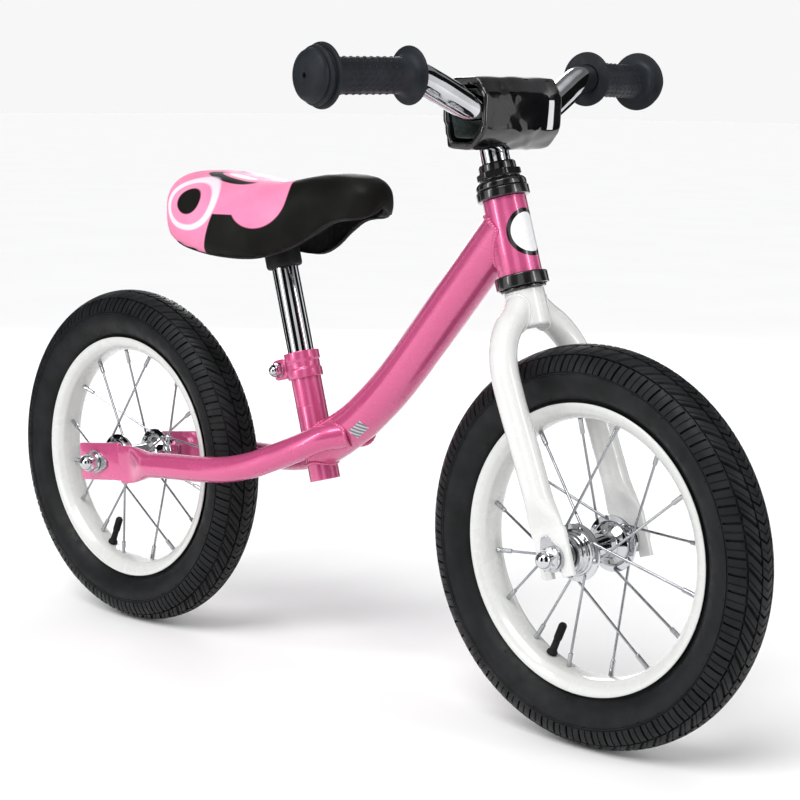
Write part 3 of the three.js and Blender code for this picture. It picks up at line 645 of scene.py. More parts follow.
def valve_shapes():
    angle = FIRST_SPOKE + math.radians(146.25)
    inwards = -np.array([math.cos(angle), 0, math.sin(angle)])
    stem = lathe(rounded([(0, 0), (4.4, 0), (4.0, 2.2), (2.9, 3.6), (2.7, 12.4), (0, 12.4)], 0.5, False), 32)
    ribs = []
    for z in np.arange(14.2, 25.5, 1.3):
        ribs += [(3.25, z), (3.25, z + 0.7), (3.0, z + 0.75), (3.0, z + 1.25)]
    cap = lathe([(0, 13.2), (3.1, 13.2)] + ribs + [(2.3, 26.9), (0, 27)], 24)
    return aimed(merged(stem, cap), -inwards * (RIM_SPOKE_RADIUS + 0.2), inwards)


def dome_nut(half_across, length, dome):
    """Hexagonal nut with a flange below and chamfered corners, closed by a dome of that radius."""
    corner = half_across / math.cos(math.pi / 6)
    flange = [(0, 0), (corner - 0.2, 0), (corner - 0.2, 1.1), (half_across, 1.9)]
    flange = lathe(rounded(flange + [(0, 1.9)], 0.3, False), 64, closed=False)
    body = [(0, 0.6), (corner + 1, 0.6), (corner + 0.1, length - 1.6), (half_across - 0.2, length)]
    body = lathe(body + [(0, length)], 96, closed=False, hexagon=2 * half_across)
    angles = np.radians(np.linspace(0, 90, 10))
    cap = [(dome * math.cos(a), length - 0.6 + dome * math.sin(a)) for a in angles]
    return merged(flange, body, lathe([(0, length - 2), (dome, length - 2)] + cap, 64, closed=False))


def washer_shape(hook):
    """Round washer drawn out into a pointed tab, its tip turned in to the frame."""
    turns = np.radians(np.linspace(48, 312, 40))
    outline = [(10.4 * math.cos(a), 10.4 * math.sin(a)) for a in turns]
    outline += [(13.5, -4.4), (16.5, -2.6), (16.5, 2.6), (13.5, 4.4)]
    points, faces = plate(outline, 1.6, 0.4)
    c, s = math.cos(hook), math.sin(hook)
    x, y, z = points.T
    return np.stack([x * c - z * s, y, x * s + z * c], -1), faces


def wheel(prefix):
    body = f"{prefix}_wheel"

    def add(name, shape, material, slot, replaces=()):
        return piece(f"{prefix}_{name}", moved(shape, axles[prefix]), material, body,
                     [f"{prefix}_{node}" for node in replaces])
    add("tyre_tread", tyre_shape(), TYRE, "tyre_rubber", ["tyre", "inner_tube"])
    add("tyre_hairs", hair_shapes(), VALVE, "tyre_rubber")
    add("rim_hoop", rim_shape(), RIM_WHITE, "rim_paint", ["rim"])
    add("hub", hub_shape(), CHROME, "chrome", ["hub_shell"])
    for side_name, side in SIDES.items():
        wires, nipples = spoke_shapes(side)
        add(f"spoke_wires_{side_name}", wires, SPOKE_STEEL, "chrome", [f"spokes_{side_name}"])
        add(f"nipples_{side_name}", nipples, ZINC, "chrome")
    add("valve_stem", valve_shapes(), VALVE, "tube_rubber", ["valve"])


def axle(prefix, body, hook):
    centre = axles[prefix]

    def add(name, shape, material, slot, replaces=()):
        return piece(f"{prefix}_{name}", shape, material, body,
                     [f"{prefix}_{node}" for node in replaces], sharp=30)
    threads = [(4.3 - 0.35 * (i % 2), y) for i, y in enumerate(np.arange(-58.6, 58.7, 0.5))]
    add("axle_rod", on_axle(lathe([(0, -59)] + threads + [(0, 59)], 32), centre), ZINC, "steel", ["axle"])
    for name, side in SIDES.items():
        cone = lathe(rounded([(4.6, 30), (10.6, 32.6), (10.8, 36.2), (8.6, 36.6), (8.6, 38), (4.6, 38)],
                             0.5), 64)
        locknut = moved(lathe(rounded([(4.6, 0), (9.4, 0), (9.4, 5.4), (4.6, 5.4)], 0.6), 72,
                              hexagon=16.4), (0, 0, 38.2))
        add(f"cone_set_{name}", on_axle(merged(cone, locknut), centre, side), ZINC, "steel",
            [f"cone_{name}"])
        washer = moved(washer_shape(hook), centre + np.array([0, side * 49.1, 0]))
        add(f"tab_washer_{name}", washer, ZINC, "steel", [f"washer_{name}"])
        nut = moved(dome_nut(7.6, 8.2, 6.6), (0, 0, 50.3))
        add(f"dome_nut_{name}", on_axle(nut, centre, side), CHROME, "chrome", [f"nut_{name}"])


for prefix in ("rear", "front"):
    wheel(prefix)
axle("rear", "frame", 0.0)
axle("front", "fork", math.radians(120))


# Steering and seat axes, from the frame's joints

HEAD_RADIUS, HEAD_BORE, HEAD_LENGTH = 16.5, 14.5, 57.8
SEAT_RADIUS, SEAT_BORE, SEAT_LENGTH = 12.7, 11.45, 106.0


def lean_of(joint):
    x, _, z = joints[joint]["axis"]
    return math.atan2(-x, z)


head_foot = np.array(joints["steering"]["pos_m"]) / MM
on_head = leaning(head_foot, lean_of("steering"))
seat_lean = lean_of("seat_height")
seat_low, seat_high = (np.array(corner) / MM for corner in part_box("seat_tube"))
seat_foot = np.array([seat_high[0] - SEAT_RADIUS * math.cos(seat_lean), 0,
                      seat_low[2] + SEAT_RADIUS * math.sin(seat_lean)])
on_seat = leaning(seat_foot, seat_lean)


def from_line(points, start, end):
    """How far points are from a line."""
    ahead = unit(np.subtract(end, start))
    off = points - start
    return np.linalg.norm(off - (off @ ahead)[..., None] * ahead, axis=-1)


def from_route(points, route):
    """How far points are from a polyline of closely spaced points."""
    flat = points.reshape(-1, 3)
    distance = np.min(np.linalg.norm(flat[:, None] - route[None], axis=-1), axis=1)
    return distance.reshape(points.shape[:-1])


def outside_head(points):
    return from_line(points, head_foot, on_head([0, 0, 1])) - HEAD_RADIUS


def outside_seat(points):
    return from_line(points, seat_foot, on_seat([0, 0, 1])) - SEAT_RADIUS


# Frame tubes

MAIN_RADIUS, STAY_RADIUS = 17.5, 11.0
DROPOUT_Y, DROPOUT_THICKNESS, AXLE_SLOT, STAY_RISE = 46.0, 4.0, 4.6, math.radians(6.9)
MAIN_ROUTE = smooth_route(
    [(-28, 0, 186.5), (-12, 0, 195), (3.5, 0, 204.7), (19.7, 0, 215.8), (35.4, 0, 228.9), (51.6, 0, 243.7),
     (68.1, 0, 260.9), (83.8, 0, 278.7), (129.3, 0, 331.5), (172, 0, 381.1)], 260)


def outside_main(points):
    return from_route(points, MAIN_ROUTE) - MAIN_RADIUS


def painted(name, shape, replaces=(), sharp=35):
    """A pink piece of the frame."""
    return piece(name, shape, PINK, "frame", replaces, sharp)


def flattened(route, radius, until, over, wider, thinner):
    """A tube's rings, pressed flat at the route's start: until and over are shares of its length."""
    flat = np.clip((until - np.linspace(0, 1, len(route))) / over, 0, 1)
    flat = flat * flat * (3 - 2 * flat)
    return skin(route, radius + wider * flat, radius - thinner * flat, sides=48, squareness=1 - 0.62 * flat)


def slotted(corners, radius, start, last):
    """A dropout's outline: its corners, then a slot's half circle from the start angle, then its last."""
    turns = np.radians(np.linspace(start, start - 180, 17))
    slot = [(AXLE_SLOT * math.cos(a), AXLE_SLOT * math.sin(a)) for a in turns]
    return np.vstack([rounded(corners, radius, False), slot, [last]])


def seat_skin(start, end, rows, radius):
    """Rings round the seat tube's axis between two heights."""
    heights = np.linspace(start, end, rows)
    return skin(on_seat(np.stack([0 * heights, 0 * heights, heights], -1)), radius, sides=48)


main_skin, head_seam = mitred(skin(MAIN_ROUTE, MAIN_RADIUS, sides=72), outside_head)
down_tube = painted("down_tube", dished(main_skin), ["main_tube"])
bored(down_tube, capped(seat_skin(-30, 140, 40, SEAT_RADIUS - 0.5)))

welds = [weld(head_seam, 1.9)]
for side_name, side in SIDES.items():
    route = smooth_route(
        [(-228, side * 46, 151.5), (-200, side * 46, 155), (-165, side * 46, 158.5), (-126, side * 44, 161),
         (-95, side * 40.5, 164.5), (-70, side * 36, 171), (-48, side * 30.5, 180), (-24, side * 25.5, 190.5),
         (-5, side * 19, 199.5), (14, side * 8, 205)], 200)
    rings, seam = mitred(flattened(route, STAY_RADIUS, 0.17, 0.13, 5.5, 8.85), outside_main)
    outline = slotted([(-22, -16.5), (33, -16.5), (33, 16.5), (-22, 16.5), (-22, AXLE_SLOT)], 2.5, 90,
                      (-22, -AXLE_SLOT))
    c, s = math.cos(STAY_RISE), math.sin(STAY_RISE)
    outline = outline @ np.array([[c, s], [-s, c]])
    dropout = moved(plate(outline, DROPOUT_THICKNESS, 0.7), axles["rear"] + [0, side * DROPOUT_Y, 0])
    painted(f"chain_stay_{side_name}", merged(capped(rings), dropout), [f"stay_{side_name}"])
    welds.append(weld(seam, 1.7))

painted("head_sleeve", on_head(lathe(rounded([(HEAD_BORE, 0), (HEAD_RADIUS, 0), (HEAD_RADIUS, HEAD_LENGTH),
                                              (HEAD_BORE, HEAD_LENGTH)], 0.4))), ["head_tube"])

# The seat tube is whole below and slit behind where the collar squeezes it.
SLIT_FROM = 62.0
wall = [(SEAT_BORE, 0), (SEAT_RADIUS, 0), (SEAT_RADIUS, SLIT_FROM), (SEAT_BORE, SLIT_FROM)]
slit_wall = [(SEAT_BORE, SLIT_FROM), (SEAT_RADIUS, SLIT_FROM), (SEAT_RADIUS, SEAT_LENGTH),
             (SEAT_BORE, SEAT_LENGTH)]
seat_tube = merged(lathe(rounded(wall, 0.3)), lathe(slit_wall, gap=13.5))
painted("seat_sleeve", on_seat(seat_tube), ["seat_tube"])
for start, end in ((SEAT_LENGTH, 0.0), (0.0, SEAT_LENGTH)):
    rings = seat_skin(start, end, 160, SEAT_RADIUS + 0.5)
    welds.append(weld(mitred(rings, outside_main)[1], 1.6))
painted("frame_welds", merged(*welds), sharp=60)

# Seat collar: a split band with two raised ribs, and two ears for its bolt
band = rounded([(13.0, 85.5), (14.9, 85.5), (14.9, 92.6), (13.9, 93.8), (13.9, 99.2), (14.9, 100.4),
                (14.9, 107.5), (13.0, 107.5)], 0.7)
ear = rounded([(-28, 88), (-12, 88), (-12, 105), (-28, 105)], 5, steps=8)
ears = [moved(plate(ear, 6.2, 0.9), (0, side * 5.9, 0)) for side in SIDES.values()]
painted("collar_band", on_seat(merged(lathe(band, gap=20), *ears)), ["seat_collar"])
collar_at = np.array([-20, 0, 96.5])
shank = on_axle(lathe([(0, -18), (3, -18), (3, 9.3), (0, 9.3)], 24, closed=False), collar_at)
bolt_head = on_axle(lathe(rounded([(0, 9.3), (5.5, 9.3), (5.5, 12.2), (4.2, 13.3), (0, 13.3)], 0.8, False),
                          48, closed=False), collar_at)
piece("collar_screw", on_seat(merged(shank, bolt_head)), ZINC, "frame", ["collar_bolt"])
collar_nut = on_axle(moved(dome_nut(5.4, 6.4, 4.8), (0, 0, 9.3)), collar_at, side=-1)
piece("collar_dome_nut", on_seat(collar_nut), CHROME, "frame", ["collar_nut"])


# Plain stickers: a ring on the head tube and a small plate on the main tube

def head_patch(inner, outer, radius):
    """Part of a disc that lies on the front of the head tube."""
    ring, turn = np.meshgrid(np.linspace(inner, outer, 8), np.linspace(0, 2 * math.pi, 73)[:-1],
                             indexing="ij")
    around, height = ring * np.cos(turn) / HEAD_RADIUS, ring * np.sin(turn) + HEAD_LENGTH / 2
    points = np.stack([radius * np.cos(around), radius * np.sin(around), height], -1)
    return on_head(grid(points))


piece("head_disc", head_patch(0.0, 15, HEAD_RADIUS + 0.12), BADGE_WHITE, "frame")
piece("head_ring", head_patch(15, 18.2, HEAD_RADIUS + 0.12), BLACK, "frame")

label = Surface("label_foil", Metallic=0.6, Coat_Weight=0.5)
rows = label.axis("Z") * 0.9 + label.axis("X") * 0.35
lines = (rows * 2.0).math("SINE").step(-0.2, 0.3)
label.colour(label.mix(lines, (0.16, 0.16, 0.18), (0.55, 0.55, 0.58)))
label.gloss((200,), 0.25, 0.4)
label_skin = skin(MAIN_ROUTE[50:65], MAIN_RADIUS + 0.12, sides=120)[:, 68:80]
piece("frame_label", grid(label_skin, wrap_columns=False), label.material, "frame")


# Fork and headset

CROWN_RADIUS, LEG_RADIUS = 15.0, 10.5
crown = rounded([(11.3, -40), (14.4, -40), (CROWN_RADIUS, -38.5), (CROWN_RADIUS, -12.3), (12.7, -12.3),
                 (12.7, 84), (11.3, 84)], 0.8)
piece("fork_steerer", on_head(lathe(crown)), WHITE, "fork", ["fork_crown"])


def outside_crown(points):
    return from_line(points, head_foot, on_head([0, 0, 1])) - CROWN_RADIUS


fork_beads = []
for side_name, side in SIDES.items():
    route = smooth_route(on_head(
        [(12.4, side * 46, -192), (10.6, side * 46, -172), (8, side * 46, -135), (4.5, side * 46, -90),
         (2.5, side * 43.8, -68), (1, side * 37.5, -52), (0.3, side * 28, -40), (0, side * 16.5, -31),
         (0, side * 4, -19)]), 200)
    rings, seam = mitred(flattened(route, LEG_RADIUS, 0.16, 0.15, 4.5, 8.35), outside_crown, overlap=1.5)
    outline = slotted([(15, -15), (15, 22), (-15, 22), (-15, -15), (-AXLE_SLOT, -15)], 4, 180,
                      (AXLE_SLOT, -15))
    blade = leaning(axles["front"] + [0, side * DROPOUT_Y, 0], lean_of("steering"))
    tip = blade(plate(outline, DROPOUT_THICKNESS, 0.7))
    piece(f"fork_blade_{side_name}", merged(capped(rings), tip), WHITE, "fork",
          [f"fork_leg_{side_name}"])
    fork_beads.append(grid(skin(resampled(seam, 72, closed=True), 1.2, sides=16, closed=True),
                           wrap_rows=True))
piece("fork_fillets", merged(*fork_beads), WHITE, "fork", sharp=60)

rings_of_headset = {
    "headset_cup_upper": ("frame", [(13.1, 48), (14.2, 48), (14.2, 58.1), (20, 58.1), (20, 65.2),
                                    (18.2, 65.2), (18.2, 61.4), (13.1, 60)]),
    "headset_cup_lower": ("frame", [(13.1, 9), (13.1, -2), (18.2, -3.6), (18.2, -9.5), (20, -9.5),
                                    (20, -0.3), (14.2, -0.3), (14.2, 9)]),
    "headset_race_lower": ("fork", [(13, -12), (17.2, -12), (17.2, -9.8), (15.5, -8.4), (13, -8.4)]),
    "headset_cone_upper": ("fork", [(13, 65.7), (19.2, 65.7), (19.2, 70), (17.4, 72.2), (13, 72.2)]),
    "headset_washer": ("fork", [(13, 72.5), (15.6, 72.5), (15.6, 73.8), (13, 73.8)]),
}
for node, (body, profile) in rings_of_headset.items():
    piece(f"{node}_ring", on_head(lathe(rounded(profile, 1.1, steps=5))), BLACK, body, [node])
locknut = merged(
    lathe(rounded([(13, 74.15), (16.9, 74.15), (16.9, 78.65), (13, 78.65)], 0.8), hexagon=30.4),
    lathe(rounded([(13, 78), (13.4, 78), (14.2, 79), (14.2, 84), (13.4, 85), (13, 85)], 0.4)))
piece("headset_locknut_ring", on_head(locknut), BLACK, "fork", ["headset_locknut"])

# Hidden pieces keep their CAD shape
for node in ("headset_bearing_lower", "headset_bearing_upper", "stem_wedge", "stem_bolt"):
    materials = frame["nodes"][node].data.materials
    materials.clear()
    materials.append(ZINC)


# Stem and bar

QUILL_RADIUS, QUILL_BORE = 11.0, 4.3
BAR_RADIUS, CLAMP_BORE, CLAMP_RADIUS, CLAMP_HALF = 11.1, 11.4, 14.2, 12.5
bar_middle = on_head([23.1, 0, 116.8])


def by_bar(forward, left, up):
    return bar_middle + np.array([forward, left, up])


quill = on_head(lathe(rounded([(QUILL_BORE, 24), (QUILL_RADIUS, 24), (QUILL_RADIUS, 108), (8.5, 112.6),
                               (8, 112.6), (8, 110), (QUILL_BORE, 110)], 2.5)))
arm_route = smooth_route([on_head([0, 0, 104]), on_head([6, 0, 110.5]), by_bar(-7, 0, -2)], 20)
arm = capped(skin(arm_route, np.linspace(9.5, 8.6, 20), np.linspace(9.5, 11, 20), sides=40))
clamp_wall = rounded([(CLAMP_BORE, -CLAMP_HALF), (CLAMP_RADIUS, -CLAMP_HALF), (CLAMP_RADIUS, CLAMP_HALF),
                      (CLAMP_BORE, CLAMP_HALF)], 0.8)
clamp_points, clamp_faces = lathe(clamp_wall, gap=9)
# The lathe's gap, on -X, is turned to face up.
x, y, z = clamp_points.T
clamp = np.stack([-y, z, -x], -1) + bar_middle, clamp_faces
lug = rounded([(0, 12.2), (4.4, 12.2), (4.4, 19.2), (0, 19.2)], 1.2)
lugs = [moved(plate(lug * [side, 1] + [side * 1.25, 0], 2 * CLAMP_HALF - 5, 0.8), bar_middle)
        for side in SIDES.values()]
piece("stem_body", merged(quill, arm, clamp, *lugs), CHROME, "handlebar", ["stem"])
top_bolt = on_head(moved(lathe(rounded([(0, 0), (7.2, 0), (7.2, 5.2), (0, 5.4)], 0.7, False), 72,
                               closed=False, hexagon=12.6), (0, 0, 112.3)))
piece("stem_top_bolt", top_bolt, ZINC, "handlebar", sharp=30)
cross_bolt = aimed(lathe(rounded([(0, -8), (2, -8), (2, 4.6), (3.6, 4.6), (3.6, 8.2), (0, 8.2)], 0.3, False),
                         32, closed=False), by_bar(0, 0, 15.6), (1, 0, 0))
piece("stem_cross_bolt", cross_bolt, ZINC, "handlebar", ["bar_clamp_bolt"])

GRIP_INNER, GRIP_LENGTH = 99.8, 79.0
BENDS = [(0, 18, 0), (-0.2, 28, 0.8), (-1, 44, 4.6), (-3.5, 62, 12.5), (-6.5, 79, 20.5), (-8, 91, 25.2),
         (-8.7, GRIP_INNER, 26.3), (-10, 112, 26.2), (-18, GRIP_INNER + GRIP_LENGTH + 2, 25.2)]
bar_points = [by_bar(x, -y, z) for x, y, z in BENDS[::-1]] + [by_bar(x, y, z) for x, y, z in BENDS]
bar_route = smooth_route(bar_points, 240)
piece("handlebar_tube", capped(skin(bar_route, BAR_RADIUS, reference=(0, 0, 1), sides=48)), CHROME,
      "handlebar", ["handlebar"])


# Grips: inner flange, studded sleeve, outer guard and a domed end with a vent hole

def grip_shape():
    guard = GRIP_LENGTH
    profile = rounded(
        [(11.4, 0.2), (19.8, 0), (20.9, 0.6), (20.9, 1.9), (19.5, 2.6), (16, 3.6), (13.6, 7), (12.9, 13),
         (12.9, guard - 9), (13.8, guard - 4), (17, guard - 2), (22.2, guard - 1.4), (22.9, guard - 0.6),
         (22.9, guard + 0.6), (22.2, guard + 1.4), (18.9, guard + 1.9), (18.9, guard + 3.3),
         (20.4, guard + 3.9), (20.8, guard + 4.6), (20.8, guard + 5.8), (20.2, guard + 6.6),
         (18.2, guard + 7), (18.9, guard + 8.4), (17.9, guard + 11.6), (14, guard + 13.9),
         (8, guard + 15.1), (1.7, guard + 15.4), (1.7, guard + 9)], 1.4, False, 3)
    sleeve = lathe(profile, 96, closed=False)
    stud = lathe([(0, 0.55), (0.7, 0.5), (1.25, 0.2), (1.4, -0.3)], 12, closed=False)
    ridge = [(math.radians(a), along) for a in np.arange(0, 360, 20) for along in np.arange(18, 66, 6.0)]
    studs = []
    for turn, along in ridge:
        out = np.array([math.cos(turn), math.sin(turn), 0])
        studs.append(aimed(stud, out * 12.8 + np.array([0, 0, along + 3 * (round(turn * 9 / math.pi) % 2)]),
                           out))
    return merged(sleeve, *studs)


for side_name, side in SIDES.items():
    inner, outer = (by_bar(x, side * y, z) for x, y, z in BENDS[-2:])
    ahead = unit(outer - inner)
    start = inner - ahead * (BENDS[-2][1] - GRIP_INNER)
    piece(f"rubber_grip_{side_name}", aimed(grip_shape(), start, ahead), GRIP, "handlebar",
          [f"grip_{side_name}"], sharp=50)


# Bar pad: a folded wrap of gloss vinyl over foam, open at its ends

CLOTH_FRAMES = 20
PAD_HALF, PAD_FOAM = 44.0, 4.6
PAD_MIDDLE = np.array([165.0, 0, 463.0])
PAD_CORNERS = [(-13, 28), (13, 28), (22, 15), (21, -13), (8, -27), (-16.5, -26.5), (-23.2, 2)]


def puffed(made, voxel, pressure, cap, grown=0.0):
    """Fills a soft piece with air as cloth, keeps each point within cap of its start, and smooths it."""
    remesh = made.modifiers.new("remesh", "REMESH")
    remesh.mode = "VOXEL"
    remesh.voxel_size = voxel * MM
    remesh.use_smooth_shade = True
    rest = np.array([vertex.co[:] for vertex in baked(made).vertices])
    cloth = made.modifiers.new("cloth", "CLOTH")
    cloth.settings.quality = 6
    cloth.settings.mass = 0.3
    cloth.settings.tension_stiffness = 25
    cloth.settings.compression_stiffness = 25
    cloth.settings.bending_stiffness = 2
    cloth.settings.use_pressure = True
    cloth.settings.uniform_pressure_force = pressure
    cloth.settings.shrink_min = -grown
    cloth.settings.effector_weights.gravity = 0
    for number in range(1, CLOTH_FRAMES + 1):
        bpy.context.scene.frame_set(number)
    end = baked(made)
    bpy.context.scene.frame_set(1)
    move = np.array([vertex.co[:] for vertex in end.vertices]) - rest
    length = np.linalg.norm(move, axis=1, keepdims=True)
    limit = cap * MM
    kept = rest + move / np.maximum(length, 1e-9) * limit * np.tanh(length / limit)
    end.vertices.foreach_set("co", kept.ravel())
    smooth = made.modifiers.new("smooth", "SUBSURF")
    smooth.levels = smooth.render_levels = 1
    baked(made).shade_smooth()
    return made


def pad_layer(inset, rows=60, reach=PAD_HALF - 1.5):
    """One layer of the pad, filled out in the middle and creased across its panels."""
    corners = np.array(PAD_CORNERS, float) * (1 - inset / 22.5)
    outline = resampled(rounded(corners, 3.6, steps=7), 140, closed=True)
    y = np.linspace(-reach, reach, rows)
    fullness = 1 + 0.16 * np.cos(np.clip(y / PAD_HALF, -1, 1) * math.pi / 2) ** 2
    x = outline[None, :, 0] * np.where(outline[None, :, 0] > 0, fullness[:, None], 1.0)
    z = np.repeat(outline[None, :, 1], rows, 0)
    around = np.linspace(0, 2 * math.pi, outline.shape[0], endpoint=False)[None, :]
    folds = (0.4 * np.sin(around * 5 + y[:, None] / 11) * np.sin(y[:, None] / 8.5 + 2 * np.sin(around * 2))
             + 0.9 * np.exp(-((y[:, None] - 10 + 30 * np.sin(around)) / 4) ** 2) * np.sin(around * 3))
    scale = 1 - (1.5 + folds) / 24
    return np.stack([x * scale, np.repeat(y[:, None], outline.shape[0], 1), z * scale], -1)


VINYL = Surface("pad_vinyl", Coat_Weight=0.7, Coat_Roughness=0.04, Specular_IOR_Level=0.4)
VINYL.clouds((35, 4), (0.002, 0.002, 0.002), (0.006, 0.006, 0.007)).gloss((50, 4), 0.08, 0.2)
VINYL.relief(VINYL.noise(38, 3), 0.5, 0.002).relief(VINYL.noise(700, 2), 0.06, 0.0002)
LINING = Surface("pad_lining", Sheen_Weight=0.2, Specular_IOR_Level=0.2)
LINING.clouds((400, 4), (0.03, 0.045, 0.042), (0.07, 0.10, 0.09)).gloss((300,), 0.7, 0.9)
LINING.relief(LINING.cells(900), 0.4, 0.0004)
pad_skin = np.concatenate([pad_layer(0.0), pad_layer(PAD_FOAM)[::-1]])
pad = piece("pad_cover", moved(grid(pad_skin, wrap_rows=True), PAD_MIDDLE), VINYL.material, "handlebar",
            ["bar_pad"], sharp=70)
puffed(pad, voxel=2.2, pressure=4, cap=1.6, grown=0.04)
piece("pad_inside", moved(grid(pad_layer(PAD_FOAM + 2.2, reach=PAD_HALF - 3)), PAD_MIDDLE),
      LINING.material, "handlebar", sharp=70)

# A plain pale strip sewn down the far edge of the front panel
bpy.context.view_layer.update()
strip = pad_layer(0.0)[47:53, 40:60] + PAD_MIDDLE
for row, column in np.ndindex(strip.shape[:2]):
    _, spot, normal, _ = pad.closest_point_on_mesh(Vector(strip[row, column]) * MM)
    strip[row, column] = np.array(spot) / MM + np.array(normal) * 0.2
piece("pad_strip", grid(strip, wrap_columns=False), BADGE_WHITE, "handlebar")


# Seat post and saddle

POST_RADIUS, POST_BORE, POST_TOP, POST_FOOT = 11.1, 9.6, 190.0, 48.0
SADDLE_REAR, SADDLE_NOSE, SADDLE_FOAM = -112.0, 119.0, 9.0
post_wall = [(POST_BORE, POST_FOOT), (POST_RADIUS, POST_FOOT), (POST_RADIUS, POST_TOP), (POST_BORE, POST_TOP)]
piece("seat_post_tube", on_seat(lathe(rounded(post_wall, 0.4))), CHROME, "seat", ["seat_post"])
saddle_at = on_seat([0, 0, POST_TOP - 2])


def saddle_line(points):
    """A smooth function of the distance along the saddle through these points."""
    x, value = np.array(points, float).T
    route = smooth_route(np.stack([x, np.zeros_like(x), value], -1), 200)
    return lambda at: np.interp(at, route[:, 0], route[:, 2])


saddle_top = saddle_line([(-122, 66), (-100, 69), (-60, 67.5), (5, 61.5), (57, 69.5), (90, 71.5), (126, 66)])
saddle_skirt = saddle_line([(-122, 22), (-100, 16), (-60, 6), (-27, 1.5), (10, 2), (35, 10), (60, 24),
                            (80, 34), (126, 38)])
saddle_half = saddle_line([(-122, 56), (-90, 60.5), (-60, 59.5), (-27, 56.5), (7, 48.5), (35, 37.5),
                           (60, 28.5), (90, 25), (126, 23.5)])


def round_end(distance, reach, power):
    """How far a form has opened out, from 0 to 1, at a distance in from its end."""
    share = np.clip(distance / reach, 0, 1)
    return (1 - (1 - share) ** power) ** (1 / power)


def saddle_rings(inset=0.0, columns=72, rows=90):
    """Rings from the right skirt over the top to the left skirt, from the rear to the nose."""
    length = np.sin(np.linspace(-math.pi / 2, math.pi / 2, rows))
    x = (SADDLE_REAR + SADDLE_NOSE) / 2 + length * ((SADDLE_NOSE - SADDLE_REAR) / 2 - inset)
    from_rear, from_nose = x - SADDLE_REAR - inset, SADDLE_NOSE - inset - x
    half = (saddle_half(x) - inset) * round_end(from_rear, 52, 2.1) * round_end(from_nose, 27, 2.2)
    close = round_end(from_rear, 30, 2.2) * round_end(from_nose, 20, 2.4)
    top, skirt = saddle_top(x) - inset, saddle_skirt(x)
    waist = skirt + 0.42 * (top - skirt)
    low = math.radians(64)
    angle = np.linspace(-low, math.pi + low, columns)[None, :]
    cosine, sine = np.cos(angle), np.sin(angle)
    rise = np.where(sine > 0, (top - waist)[:, None], (waist - skirt)[:, None] / math.sin(low))
    y = -half[:, None] * np.sign(cosine) * np.abs(cosine) ** np.where(sine > 0, 0.74, 0.16)
    z = waist[:, None] + close[:, None] * rise * np.sign(sine) * np.abs(sine) ** np.where(sine > 0, 0.85, 0.9)
    return np.stack([np.repeat(x[:, None], columns, 1), y, z], -1)


cushion_shape = grid(np.concatenate([saddle_rings(1.0), saddle_rings(SADDLE_FOAM)[:, ::-1]], 1))

# Cover: black, with a pink rear, band and lobe, and a ringed oval on each side
COVER = Surface("saddle_cover", Specular_IOR_Level=0.25, IOR=1.3)
sx = COVER.axis("X") - float(saddle_at[0])
sy = COVER.axis("Y").size()
sz = COVER.axis("Z") - float(saddle_at[2])
rear = (sx + (sz * -0.35) + 39.0).step(-0.6, 0.6, 1.0, 0.0)
band = sz.step(35.6, 36.6).both(sx.step(-2, 4, 1.0, 0.0))
lobe = ellipse(sx, sz, (12.0, 50.0), (24.0, 24.0), 0.03)
crown_pink = sz.step(54, 55).both((sx + sy * 0.5).step(21, 22, 1.0, 0.0))
pinks = rear.either(band).either(lobe).either(crown_pink)
leaf = ellipse(sx - sy * 0.3, sy, (-38.0, 13.0), (17.0, 5.5), 0.06).both(sz.step(50, 52))
swoosh = ellipse(sx - sy * 0.3, sy, (-45.0, 19.0), (29.0, 13.5), 0.05).both(sz.step(50, 52))
swoosh = swoosh.both(ellipse(sx - sy * 0.3, sy, (-36.0, 13.5), (26.0, 9.5), 0.05).outside())
ring_centre = (-54.0, 43.0)
white_ring = ellipse(sx, sz, ring_centre, (28.0, 21.5), 0.04)
pink_ring = ellipse(sx, sz, ring_centre, (22.0, 17.0), 0.05)
dark_oval = ellipse(sx, sz, (-55.0, 45.0), (12.0, 10.5), 0.07)
mottle = COVER.noise(22, 4).step(0.3, 0.7)
black = COVER.mix(mottle, (0.003, 0.003, 0.002), (0.007, 0.007, 0.006))
pink = COVER.mix(mottle, (0.74, 0.20, 0.36), (0.84, 0.27, 0.44))
pale = COVER.mix(mottle, (0.72, 0.62, 0.70), (0.80, 0.72, 0.77))
colour = COVER.mix(pinks, black, pink)
for mark, tint in ((swoosh, black), (leaf, pale), (white_ring, pale), (pink_ring, pink), (dark_oval, black)):
    colour = COVER.mix(mark, colour, tint)
COVER.colour(colour)
COVER.gloss((80, 3), 0.4, 0.52)
COVER.relief(COVER.cells(1300), 0.12, 0.0003).relief(COVER.noise(18, 2), 0.15, 0.002)
cushion = piece("saddle_cover", moved(cushion_shape, saddle_at), COVER.material, "seat",
                ["saddle_cushion"], sharp=60)
puffed(cushion, voxel=3.6, pressure=4, cap=1.8)

# Base: a moulded shell under the foam, with a rolled lip round the skirt and a socket for the post
edge = saddle_rings(4.0)
lip_line = resampled(np.vstack([edge[:, 0], edge[::-1, -1]]), 240, closed=True)
lip = grid(skin(lip_line + [0, 0, 0.8], 1.6, reference=(0, 0, 1), sides=12, closed=True), wrap_rows=True)
socket = lathe(rounded([(11.4, -9), (14, -9), (15, -7), (15, 6), (19, 34), (11.4, 34)], 1.0))
base_shape = merged(grid(saddle_rings(SADDLE_FOAM + 2), wrap_columns=False), lip,
                    leaning(np.zeros(3), seat_lean)(socket))
piece("saddle_shell", moved(base_shape, saddle_at), PLASTIC, "seat", ["saddle_base"],
      sharp=50)


# ---------------------------------------------------------------- floor, light and camera

